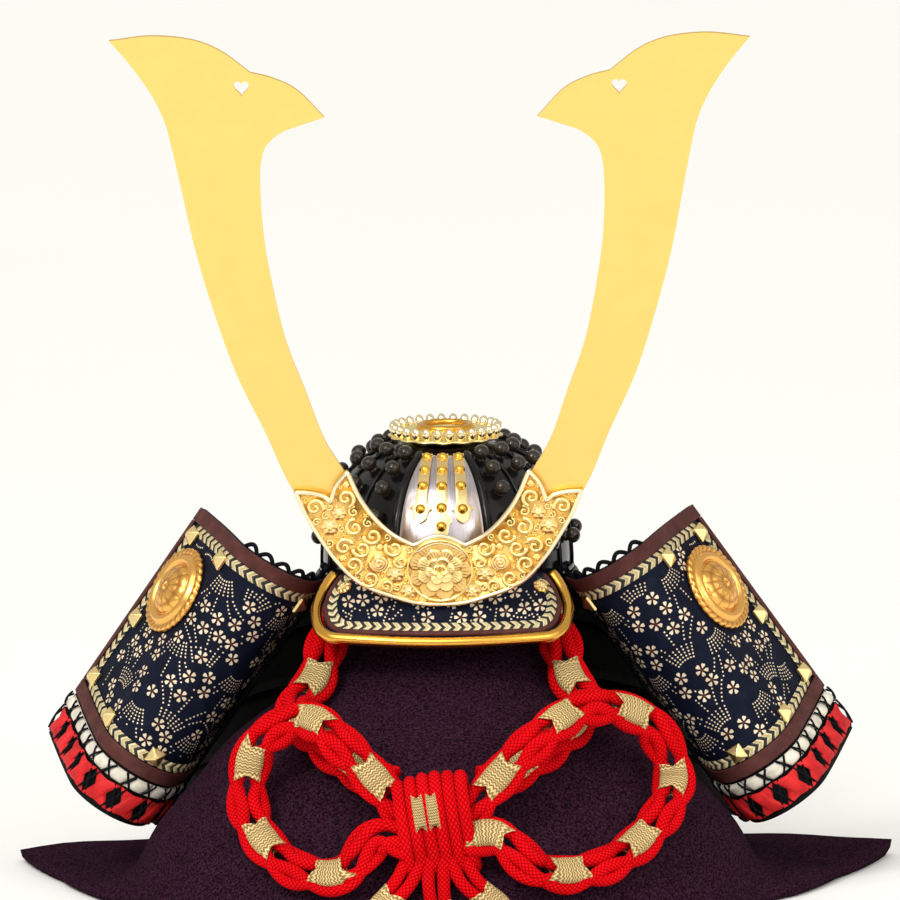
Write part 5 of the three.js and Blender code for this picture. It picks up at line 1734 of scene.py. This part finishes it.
@dataclass
class LeanedForm:
    """The flat plane of the horns and their base, which leans forward from the visor."""

    visor: VisorForm
    seat: float = 0.4
    lean: float = 12.0

    def place(self, x: float, up: float, lift: float) -> Vector:
        """Point of the plane from across, up and lift towards the front."""
        foot = self.visor.point(0, self.seat)
        c, s = cos(radians(self.lean)), sin(radians(self.lean))
        return vec(x, -s * up - c * lift + foot.y - 0.6, c * up - s * lift + foot.z)

    def forward(self) -> Vector:
        """Direction from the plane towards the front."""
        return (self.place(0, 0, 1) - self.place(0, 0, 0)).normalized()


@dataclass
class HornBase:
    """The cast horn base: gilt rims, scrolls and blossoms in relief, a medallion and two coils."""

    bench: Bench
    form: LeanedForm
    half_width: float = 47.4
    height: float = 47.3
    ground: float = 1.7
    rim: float = 0.8
    medal_radius: float = 11.2
    medal_up: float = 0.262
    coil_place: tuple[float, float] = (0.42, 0.32)
    coil_radius: float = 3.3
    outline: tuple[tuple[float, float], ...] = (
        (0, 0), (0.18, 0.015), (0.347, 0.067), (0.485, 0.12), (0.601, 0.194), (0.725, 0.335),
        (0.835, 0.507), (0.93, 0.68), (1, 0.85), (0.897, 0.843), (0.808, 0.821), (0.753, 0.776),
        (0.718, 0.896), (0.636, 1), (0.546, 0.791), (0.43, 0.625), (0.32, 0.522), (0.189, 0.448),
        (0.162, 0.455), (0.086, 0.496), (0, 0.515),
    )

    def edge(self) -> list[tuple[float, float]]:
        """The whole outline in millimetres, from the foot's middle round by the right arm."""
        right = [(x * self.half_width, y * self.height) for x, y in self.outline]
        left = [(-x, y) for x, y in right[-2:0:-1]]
        n = len(right)
        sharp = [8, 11, 13, 17]
        mirrored = [n + (n - 2) - i for i in sharp[::-1]]
        return cornered(right + left, sharp + mirrored, 0.7)

    def spiral(self, shape: Shape, x: float, y: float, size: float, turn: float, way: int) -> None:
        """One scroll that unrolls, with a leaf where it ends."""
        line = []
        for t in spread(0.0, 1.0, 30):
            a = turn + way * t * 2 * pi * 1.35
            r = size * (0.12 + 0.88 * t)
            line.append(self.form.place(x + r * cos(a), y + r * sin(a), self.ground + 0.35))
        shape.tube(line, lambda share: size * lerp(0.16, 0.27, share), 8, self.form.forward(), 1.1)

    def leaf(self, shape: Shape, x: float, y: float, size: float, turn: float) -> None:
        """One small pointed leaf."""
        def spot(t: float, s: float) -> Vector:
            u, v = t * size * 1.3, s * size * 0.36 * arch(min(t + 0.08, 1.0)) ** 0.8
            lift = self.ground - 0.1 + 0.85 * (1 - abs(s)) ** 0.6 * arch(min(t + 0.1, 1.0))
            return self.form.place(x + u * cos(turn) - v * sin(turn), y + u * sin(turn) + v * cos(turn), lift)

        ticks = spread(-1.0, 1.0, 7)
        # Height tone: painted shade towards the leaf's edges, none along its rib.
        tones = [[0.25 + 0.75 * (1 - abs(s)) for s in ticks]] * 7
        shape.sheet(net(spread(0.0, 1.0, 7), ticks, spot), tones=tones)

    def reliefs(self) -> Shape:
        """Scrolls, leaves and blossoms over both arms and the middle."""
        shape = Shape()
        rng = random.Random(3)
        forward = self.form.forward()
        edge = [vec(x, y) for x, y in self.edge()]

        def fits(x: float, y: float, size: float) -> bool:
            hit = False
            for p, q in zip(edge, edge[1:] + edge[:1]):
                if (p.y > y) != (q.y > y) and x < (q.x - p.x) * (y - p.y) / (q.y - p.y) + p.x:
                    hit = not hit
            if not hit or min((q - vec(x, y)).length for q in edge) < size * 0.9 + 0.4:
                return False
            return all(hypot(x - q[0], y - q[1]) >= size * 0.84 + q[2] * 0.86 for q in taken)

        across, up = self.coil_place
        taken = [(s * across * self.half_width, up * self.height, self.coil_radius + 0.6) for s in (-1, 1)]
        taken.append((0.0, self.medal_up * self.height, self.medal_radius + 0.4))
        for size in [z for z in (3.3, 2.8, 2.4, 2.0, 1.7, 1.4, 1.15, 0.9, 0.7) for _ in range(1100)]:
            x = rng.uniform(0.0, self.half_width)
            y = rng.uniform(0.5, self.height - 0.5)
            if not fits(x, y, size):
                continue
            taken.append((x, y, size))
            turn = rng.uniform(0, 2 * pi)
            whole = len(taken) % 4 == 0
            for side in (-1, 1):
                flip = turn if side > 0 else pi - turn
                if size <= 1.3:
                    for bend in (0.0, 1.25, 2.5, 3.75, 5.0):
                        self.leaf(shape, side * x, y, size * 0.95, flip + side * bend)
                elif whole:
                    flower(shape, self.form.place(side * x, y, self.ground), forward, size, 1.15, 6)
                else:
                    self.spiral(shape, side * x, y, size * 0.92, flip, side)
        return shape

    def build(self) -> None:
        """Makes the whole base."""
        place, forward = self.form.place, self.form.forward()
        outline = [vec(x, y) for x, y in self.edge()]
        ground = Shape().prism(outline, place, 0.0, self.ground)
        # The ground among the reliefs gets a low height tone: painted shade.
        ground.tones = [0.12] * len(ground.points)
        self.bench.piece("base_ground", ground, HOLLOW_GOLD, ["horn_base"])
        line = [place(p.x * 0.988, p.y * 0.985 + 0.35, self.ground + 0.35) for p in outline]
        rims = Shape().tube(line, self.rim, 10, forward, closed=True)
        wide, high = 0.19 * self.half_width, 0.4 * self.height
        arc = sorted((p.x, p.y) for p in outline if abs(p.x) < wide and p.y > high)
        rims.tube([place(x * 0.93, y - 2.4, self.ground + 0.3) for x, y in arc], 0.6, 8, forward)
        self.bench.piece("base_rims", rims, SILVER_GILT)
        self.bench.piece("base_scrolls", self.reliefs(), CAST_GOLD)
        middle = place(0, self.medal_up * self.height, self.ground)
        medal = medallion(middle, forward, self.medal_radius, peony)
        self.bench.piece("base_peony", medal, CAST_GOLD)
        coils = Shape()
        button = [(self.coil_radius, -0.6), (self.coil_radius * 0.9, 0.4), (0.0, 1.9)]
        for side in (-1, 1):
            x, y = side * self.coil_place[0] * self.half_width, self.coil_place[1] * self.height
            line = []
            for t in spread(0.0, 1.0, 60):
                a = 0.6 + side * t * 2 * pi * 2.6
                r = lerp(0.35, self.coil_radius - 0.4, t)
                line.append(place(x + r * cos(a), y + r * sin(a), self.ground + lerp(2.1, 0.6, t)))
            coils.tube(line, 0.62, 8, forward)
            coils.turned(button, place(x, y, self.ground), forward, 20)
        self.bench.piece("base_coils", coils, PALE_GOLD)


@dataclass
class Horns:
    """The two flat gilt horns with their heart-shaped holes."""

    bench: Bench
    form: LeanedForm
    span: float = 104.6
    rise: float = 199.0
    rear: float = -1.5
    face: float = -0.3
    hole: tuple[float, float] = (0.59, 0.909)
    hole_size: float = 2.9
    outline: tuple[tuple[float, float], ...] = (
        (1, 0.992), (0.861, 1), (0.729, 0.991), (0.65, 0.972), (0.562, 0.935), (0.498, 0.926), (0.422, 0.906),
        (0.333, 0.856), (0.409, 0.842), (0.467, 0.83), (0.516, 0.807), (0.533, 0.781), (0.538, 0.736),
        (0.531, 0.648), (0.51, 0.57), (0.469, 0.464), (0.411, 0.375), (0.353, 0.287), (0.305, 0.242),
        (0.252, 0.195), (0.36, 0.13), (0.459, 0.202), (0.541, 0.304), (0.63, 0.411), (0.721, 0.57),
        (0.75, 0.634), (0.782, 0.722), (0.809, 0.795), (0.832, 0.848), (0.867, 0.892), (0.93, 0.945),
    )
    sharp: tuple[int, ...] = (0, 4, 7, 19, 20)

    def heart(self) -> list[tuple[float, float]]:
        """Outline of the heart-shaped hole, point down."""
        x0, y0 = self.hole[0] * self.span, self.hole[1] * self.rise
        out = []
        for t in turns(40):
            x = 16 * sin(t) ** 3 / 16
            y = (13 * cos(t) - 5 * cos(2 * t) - 2 * cos(3 * t) - cos(4 * t)) / 16
            out.append((x0 + x * self.hole_size * 0.85, y0 + y * self.hole_size))
        return out

    def build(self) -> None:
        """Makes both horns."""
        edge = cornered([(x * self.span, y * self.rise) for x, y in self.outline], self.sharp, 1.1)
        for side in Side:
            loops = [[vec(side.value * x, y) for x, y in loop] for loop in (edge, self.heart())]
            flat = loops[0] + loops[1]
            n, m = len(loops[0]), len(flat)
            points = [self.form.place(p.x, p.y, lift) for lift in (self.face, self.rear) for p in flat]
            faces = []
            for t in tessellate_polygon(loops):
                a, b, c = (flat[i] for i in t)
                t = tuple(t) if (b - a).cross(c - a).z > 0 else tuple(t)[::-1]
                faces += [t, tuple(m + i for i in t[::-1])]
            for start, count in ((0, n), (n, m - n)):
                for a, b in ((start + i, start + (i + 1) % count) for i in range(count)):
                    faces.append((a, b, m + b, m + a))
            shape, node = Shape().add(points, faces), f"horn_{side.word}"
            self.bench.piece(f"gilt_{node}", shape, HORN_GOLD, [node], 0.32, angle=50, flat_faces=True)


@dataclass
class GuardForm:
    """The neck guard's surface, in helmet millimetres."""

    half_width: float = 41.0
    half_depth: float = 45.0
    clear: float = 0.9
    rim: float = 105.0
    flare: float = 35.0
    end: float = 108.0
    end_turn: float = 80.0
    row: float = 28.0
    last: tuple[float, float] = (17.0, 31.0)
    turn_length: float = 84.0

    def direction(self, turn: float) -> Vector:
        """Direction down the guard at an angle from the back."""
        outward, flare = radians(turn * self.end_turn / self.end), radians(self.flare)
        return vec(sin(outward) * sin(flare), cos(outward) * sin(flare), -cos(flare))

    def point(self, turn: float, slant: float, lift: float = 0.0) -> Vector:
        """Point of the guard at an angle from the back and a length down it."""
        a = radians(turn)
        wide, deep = self.half_width + self.clear, self.half_depth + self.clear
        seat = vec(wide * sin(a), deep * cos(a), self.rim - 0.3)
        p = seat + self.direction(turn) * slant
        return p + self.normal(turn, slant) * lift if lift else p

    def normal(self, turn: float, slant: float) -> Vector:
        """Outward direction of the guard."""
        along = self.point(turn + 0.5, slant) - self.point(turn - 0.5, slant)
        out = along.cross(self.direction(turn)).normalized()
        middle = self.point(turn, slant)
        return out if out.dot(vec(middle.x, middle.y, 30)) > 0 else -out

    def foot(self, turn: float) -> float:
        """Length down to the last row's foot."""
        share = cos(radians(turn * 90 / self.end)) ** 0.6 if abs(turn) < self.end else 0.0
        return self.turn_length + 0.3 + lerp(*self.last, share)


@dataclass
class TurnForm:
    """The surface of one turnback, in helmet millimetres."""

    side: Side
    guard: GuardForm
    leg: float = 10.0
    leg_angle: float = 75.0
    radius: float = 15.5
    wing_angle: float = 65.0
    wing: float = 32.0
    length: float = 84.0
    skew: float = 8.0
    bulges: tuple[float, float] = (2.2, 2.4)

    def __post_init__(self) -> None:
        """Sets the frame: origin at the inner top corner, with axes out, front and down."""
        end = self.side.value * self.guard.end
        self.down = self.guard.direction(end)
        self.front = (vec(0, -1, 0) + self.down * self.down.y).normalized()
        self.out = self.down.cross(self.front)
        if self.out.x * self.side.value < 0:
            self.out = -self.out
        self.origin = self.guard.point(end, 0) + self.front * 0.8
        self.flip = self.side is Side.LEFT
        self.arc = self.radius * radians(self.leg_angle + self.wing_angle)
        self.girth = self.leg + self.arc + self.wing

    def point(self, across: float, down: float, lift: float = 0.0) -> Vector:
        """Point of the turnback from across (0 inner to 1 outer edge), length down and lift."""
        length = across * self.girth
        leg, wing = radians(self.leg_angle), radians(self.wing_angle)
        along = min(length, self.leg)
        x, y, angle = cos(leg) * along, sin(leg) * along, leg
        if length > self.leg:
            angle = leg - min(length - self.leg, self.arc) / self.radius
            x += self.radius * (sin(leg) - sin(angle))
            y += self.radius * (-cos(leg) + cos(angle))
        if length > self.leg + self.arc:
            rest = length - self.leg - self.arc
            x += cos(wing) * rest
            y -= sin(wing) * rest
            angle = -wing
        x -= sin(angle) * lift
        y += cos(angle) * lift
        return self.origin + self.out * x + self.front * y + self.down * down

    def normal(self, across: float) -> Vector:
        """Outward direction at a share across."""
        return self.point(across, 0, 1) - self.point(across, 0, 0)

    def top(self, across: float) -> float:
        """Length down to the top edge."""
        return self.skew * across - self.bulges[0] * sin(pi * across)

    def foot(self, across: float) -> float:
        """Length down to the foot edge."""
        return self.length + self.bulges[1] * sin(pi * across)

    def plate(self, upper: Reading, lower: Reading, face: float, rear: float, start: float = 0.0) -> Shape:
        """A plate that follows the turnback.

        Args:
            upper: Length down to its upper line at a share across.
            lower: Length down to its lower line.
            face: Lift of its face.
            rear: Lift of its rear.
            start: Share across at which it starts.

        Returns:
            The plate.
        """
        def point(t: float, s: float, lift: float) -> Vector:
            return self.point(t, lerp(upper(t), lower(t), s), lift)

        places = spread(start, 1.0, max(int((1.0 - start) * 60), 4))
        return Shape().plate(point, spread(0.0, 1.0, 10), places[::-1] if self.flip else places, face, rear)


@dataclass
class Lacing:
    """White pillows over red crossed straps, with the thin black cords that cross between them."""

    ground: Ground
    total: float
    pillow: tuple[float, float] = (4.6, 7.6)
    strap_pitch: float = 9.6

    def units(self, pitch: float) -> tuple[list[float], float]:
        """Middles of the units along the lacing, and the length of one."""
        count = max(int(round(self.total / pitch)), 2)
        return [self.total * (k + 0.5) / count for k in range(count)], self.total / count

    def pillows(self, down: float) -> Shape:
        """A row of plump leather pillows, each pinched where the lacing crosses it."""
        height, pitch = self.pillow
        middles, unit = self.units(pitch)
        shape, wide = Shape(), unit * 0.47
        for x in middles:

            def spot(s: float, t: float) -> Vector:
                puff = max(0.0, 1 - abs(t) ** 3) ** 0.5 * max(0.0, 1 - abs(s) ** 3.2) ** 0.5
                y = down + (s + 1) / 2 * height
                return self.ground(x + t * wide + 0.35 * wide * s, y, 0.25 + 1.5 * puff)

            shape.sheet(net(spread(-1.0, 1.0, 9), spread(-1.0, 1.0, 11), spot))
        return shape

    def crossed(self, down: float, height: float) -> Shape:
        """A row of crossed leather straps, folded like hearts."""
        middles, unit = self.units(self.strap_pitch)
        shape = Shape()
        for middle in middles:
            for layer, way in enumerate((-1, 1)):

                def spot(t: float, s: float) -> Vector:
                    half = unit * (0.29 + 0.03 * cos(2 * pi * t))
                    x = clamp(middle + way * (t - 0.5) * unit * 0.34 + s * half, 0.0, self.total)
                    puff = max(0.0, 1 - s**4) ** 0.5 * (0.55 + 0.45 * arch(t) ** 0.5)
                    y = down + (t * 0.94 + 0.03) * height + 0.5 * s * way
                    return self.ground(x, y, 0.15 + (0.55 + 0.6 * layer * arch(t)) + 0.9 * puff)

                shape.sheet(net(spread(0.0, 1.0, 13), spread(-1.0, 1.0, 9), spot))
        return shape

    def laces(self, shape: Shape, down: float, height: float, pitch: float, lift: float) -> None:
        """Adds the thin cords that cross in one row."""
        middles, unit = self.units(pitch)
        for x0 in (0.0, *(x + unit / 2 for x in middles)):
            facing = self.ground(x0, down, 1) - self.ground(x0, down, 0)
            for way in (-1, 1):
                line = []
                for t in spread(0.0, 1.0, 9):
                    x = clamp(x0 + way * (t - 0.5) * pitch * 0.42, 0.0, self.total)
                    line.append(self.ground(x, down + t * height, lift + 0.55 * arch(t)))
                shape.tube(line, 0.42, 6, facing, 0.8)

    def build(
        self, bench: Bench, names: Sequence[str], nodes: Sequence[str], row: tuple[float, float, float],
        lace: tuple[float, float, float], flip: bool,
    ) -> None:
        """Makes the lacing.

        Args:
            bench: Where the pieces are made.
            names: Names of the pillows, the straps and the cords.
            nodes: CAD nodes of the pillows and the straps.
            row: Top of the pillows, and top and height of the straps.
            lace: Top of the upper cords, and top and height of the lower ones.
            flip: True where the faces are turned over.
        """
        white, red, black = self.pillows(row[0]), self.crossed(*row[1:]), Shape()
        self.laces(black, lace[0], 4.8, self.pillow[1], 1.15)
        self.laces(black, *lace[1:], self.strap_pitch, 1.0)
        if flip:
            white, red = white.mirror(), red.mirror()
        bench.piece(names[0], white, WHITE_LEATHER, [nodes[0]])
        bench.piece(names[1], red, RED_LEATHER, [nodes[1]])
        bench.piece(names[2], black, BLACK_SILK)


@dataclass
class Turnback:
    """One turnback: printed leather, edge bands and braid, a medallion, studs, and its end board."""

    bench: Bench
    form: TurnForm
    thickness: float = 1.8
    band: float = 5.0
    side_band: float = 2.0
    band_lift: float = 1.0
    braid: float = 3.5
    medal: tuple[float, float, float] = (0.77, 0.34, 14.8)
    stud: float = 5.4
    studs: tuple[tuple[float, float], ...] = (
        (0.13, 0.115), (0.6, 0.11), (0.92, 0.12), (0.92, 0.56), (0.93, 0.88), (0.62, 0.9), (0.33, 0.9),
    )

    def share(self, across: float, down: float) -> float:
        """Length down from a share down."""
        return lerp(self.form.top(across), self.form.foot(across), down)

    def leather(self) -> None:
        """The printed panel."""
        form, word = self.form, self.form.side.word
        panel = form.plate(form.top, form.foot, 0.0, -self.thickness)
        self.bench.piece(f"turn_{word}_leather", panel, PRINTED_LEATHER, [f"turnback_{word}"], 0.3)
        prints = BlossomPrint(seed=21 + form.side.value)
        prints.fill(form.girth, 92)

        def place(x: float, y: float, lift: float) -> Vector:
            return form.point(clamp(x / form.girth), y - 4, lift)

        edge = self.band + self.braid + 0.6

        def inside(x: float, y: float) -> bool:
            across = x / form.girth
            down = y - 4
            if not 0.02 < across < 1 - (edge + 1.6) / form.girth:
                return False
            m, d, r = self.medal
            if hypot((across - m) * form.girth, down - self.share(m, d)) < r + 1.5:
                return False
            return form.top(across) + edge + 1.4 < down < form.foot(across) - edge - 1.4

        prints.lay(self.bench, (f"turn_{word}_print", f"turn_{word}_buds"), place, inside, form.flip)

    def bands(self) -> None:
        """The brown leather bands and the flat braid inside them."""
        form, word = self.form, self.form.side.word
        for name, start, upper, lower in (
            ("top", 0.0, form.top, lambda t: form.top(t) + self.band),
            ("foot", 0.0, lambda t: form.foot(t) - self.band, form.foot),
            ("side", 1 - self.side_band / form.girth, lambda t: form.top(t) + self.band + 0.05,
             lambda t: form.foot(t) - self.band - 0.05),
        ):
            shape = form.plate(upper, lower, self.band_lift, 0.25, start)
            self.bench.piece(f"band_{word}_{name}", shape, BROWN_LEATHER, [f"band_{name}_{word}"], 0.35, 3)
        inset = self.band + self.braid / 2 + 0.25
        right = 1 - (self.side_band + self.braid / 2 + 0.2) / form.girth
        across, down = spread(0.02, right, 40), (form.top(right) + inset + 1.6, form.foot(right) - inset - 1.6)
        for name, marks in (
            ("top", [(t, form.top(t) + inset) for t in across]),
            ("side", [(right, d) for d in spread(*down, 30)]),
            ("foot", [(t, form.foot(t) - inset) for t in across]),
        ):
            points = [form.point(a, d, 0.12) for a, d in marks]
            outs = [form.normal(a) for a, _ in marks]
            braid_pair(self.bench, f"braid_{word}_{name}", points, outs, self.braid, 3.6)

    def metal(self) -> None:
        """The medallion and the pyramid studs."""
        form, word = self.form, self.form.side.word
        across, down, radius = self.medal
        medal = medallion(form.point(across, self.share(across, down), 1.0), form.normal(across), radius, dome)
        self.bench.piece(f"medallion_{word}", medal, MEDAL_GOLD, [f"medal_{word}"])
        studs = Shape()
        half = self.stud / 2
        for a, d in self.studs:
            base, out = form.point(a, self.share(a, d), 0.3), form.normal(a)
            side = form.down.cross(out).normalized()
            ring = [(-half, -half), (half, -half), (half, half), (-half, half)]
            rows = []
            for size, lift in ((1.0, 0.0), (1.0, 0.8), (0.93, 1.05), (0.5, 2.15), (0.14, 2.95)):
                rows.append([base + side * (x * size) + form.down * (y * size) + out * lift for x, y in ring])
            studs.sheet(rows, wrap=True)
            n = len(studs.points)
            studs.close((n - 4, n - 3, n - 2, n - 1))
        nodes = [f"stud_{word}_{i + 1}" for i in range(len(self.studs))]
        self.bench.piece(f"studs_{word}", studs, PYRAMID_GOLD, nodes, 0.16, flat_faces=True)

    def hangers(self) -> None:
        """The scalloped silk loops and the knob behind the top edge."""
        form, word = self.form, self.form.side.word
        shape = Shape()
        for k in range(5):
            ends = [0.12 + 0.085 * i for i in (k, k + 1)]
            marks = [(lerp(*ends, t), t) for t in spread(0.0, 1.0, 11)]
            line = [form.point(a, form.top(a) + 0.6 - 2.6 * arch(t), -1.1) for a, t in marks]
            shape.tube(line, 0.75, 8, form.normal(ends[0]))
        knob = form.point(0.03, form.top(0.03) + 1.0, -0.8)
        profile = [(0.9, 0.0), (0.9, 3.4), (2.1, 3.7), (2.4, 4.6), (1.9, 5.4), (0.0, 5.7)]
        shape.turned(profile, knob, -form.down, 14)
        self.bench.piece(f"silk_loops_{word}", shape, BLACK_SILK)

    def board(self) -> None:
        """The curled end of the last guard row under the turnback, with its lacing."""
        form, word = self.form, self.form.side.word
        shape = form.plate(lambda t: form.foot(t) + 0.3, lambda t: form.foot(t) + 17.3, 0.0, -1.5)
        self.bench.piece(f"end_board_{word}", shape, BOARD_LACQUER, [f"board_end_{word}"], 0.3)

        def ground(x: float, y: float, lift: float) -> Vector:
            a = clamp(x / form.girth)
            return form.point(a, form.foot(a) + y, lift)

        names = [f"end_{part}_{word}" for part in ("pillows", "crosses", "laces")]
        nodes = [f"end_lacing_{tint}_{word}" for tint in ("white", "red")]
        lacing = Lacing(ground, form.girth)
        lacing.build(self.bench, names, nodes, (1.0, 6.2, 9.2), (0.8, 6.0, 9.6), form.flip)

    def build(self) -> None:
        """Makes the whole turnback."""
        self.leather()
        self.bands()
        self.metal()
        self.hangers()
        self.board()


@dataclass
class NeckGuard:
    """The neck guard: four rows of lacquered scales under close dark lacing, the last one bound in leather."""

    bench: Bench
    form: GuardForm
    rows: int = 3
    thickness: float = 1.5
    lace: float = 2.3
    clear: float = 3.4

    def across(self, count: int) -> list[float]:
        """Evenly spaced turns from the guard's one end to the other."""
        return spread(-self.form.end, self.form.end, count)

    def columns(self, lower: Reading, pitch: float) -> tuple[int, list[float]]:
        """Number of columns of a pitch that fit along a lower line, and four turns for each."""
        total = length_of([self.form.point(t, lower(t)) for t in self.across(60)])
        return int(total / pitch), self.across(int(total / pitch) * 4 + 1)

    def heads(self, shape: Shape, upper: Reading, lower: Reading) -> None:
        """The ribbed scale heads along the top of a row."""
        _, places = self.columns(lower, 3.6)

        def spot(s: float, j: int) -> Vector:
            rib = abs(arch(j / 4))
            down = upper(places[j]) + 0.4 + (self.clear + 0.3) * s - (1 - s) * 0.36 * rib
            return self.form.point(places[j], down, 0.15 + 0.55 * rib * arch(0.15 + 0.8 * s))

        shape.sheet(net(spread(0.0, 1.0, 5), range(len(places)), spot))

    def lacing(self, shape: Shape, upper: Reading, lower: Reading) -> None:
        """Close upright cords over a row."""
        count, places = self.columns(lower, self.lace)

        def spot(s: float, j: int) -> Vector:
            rib, belly = abs(arch(j / 4)) ** 0.6, arch(clamp(s, 0.02, 0.98)) ** 0.35
            down = lerp(upper(places[j]) + self.clear + 0.4, lower(places[j]) - 0.25, s)
            return self.form.point(places[j], down, 0.2 + (0.35 + 0.85 * rib) * belly)

        shape.sheet(net(spread(0.0, 1.0, 13), range(len(places)), spot), size=(float(count), 22.0))

    def build(self) -> None:
        """Makes all rows."""
        form = self.form
        heads, cords = Shape(), Shape()
        for i in range(self.rows + 1):
            last = i == self.rows

            def upper(t: float) -> float:
                return i * form.row + (0.3 if i else 0.0)

            def lower(t: float) -> float:
                return form.foot(t) if last else (i + 1) * form.row

            def point(t: float, s: float, lift: float) -> Vector:
                return form.point(t, lerp(upper(t), lower(t), s), lift)

            board = Shape().plate(point, spread(0.0, 1.0, 6), self.across(91), 0.0, -self.thickness)
            self.bench.piece(f"guard_board_{i + 1}", board, BOARD_LACQUER, [f"guard_row_{i + 1}"])
            self.heads(heads, upper, lower)
            self.lacing(cords, upper, (lambda t: form.foot(t) - 15.6) if last else lower)
        self.bench.piece("guard_heads", heads, BLACK_LACQUER)
        self.bench.piece("guard_cords", cords, GUARD_SILK)
        total = length_of([form.point(t, form.foot(t)) for t in self.across(80)])

        def ground(x: float, y: float, lift: float) -> Vector:
            t = lerp(-form.end, form.end, clamp(x / total))
            return form.point(t, form.foot(t) - 10.5 + y, lift)

        names = ("guard_pillows", "guard_crosses", "guard_laces")
        nodes = ("guard_lacing_white", "guard_lacing_red")
        Lacing(ground, total).build(self.bench, names, nodes, (-4.7, 0.2, 9.1), (-4.9, 0.0, 9.5), False)


def main() -> None:
    """Builds the studio and each sub-assembly in order."""
    logging.basicConfig(level=logging.INFO, format="%(message)s")
    random.seed(7)
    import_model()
    Studio().build()
    LOG.info("studio set")
    bench = Bench()
    mound = MoundForm()
    ChinCord(bench, mound).build()
    LOG.info("chin cord laid")
    DrapedCloth(bench, mound).build()
    LOG.info("cloth draped")
    Bowl(bench, BowlForm()).build()
    LOG.info("bowl riveted")
    visor = VisorForm()
    Visor(bench, visor).build()
    leaned = LeanedForm(visor)
    HornBase(bench, leaned).build()
    Horns(bench, leaned).build()
    LOG.info("visor and horns set")
    guard = GuardForm()
    NeckGuard(bench, guard).build()
    for side in Side:
        Turnback(bench, TurnForm(side, guard)).build()
        LOG.info("turnback %s made", side.word)
    LOG.info("%d pieces in all", bench.count)


if __name__ == "__main__":
    main()
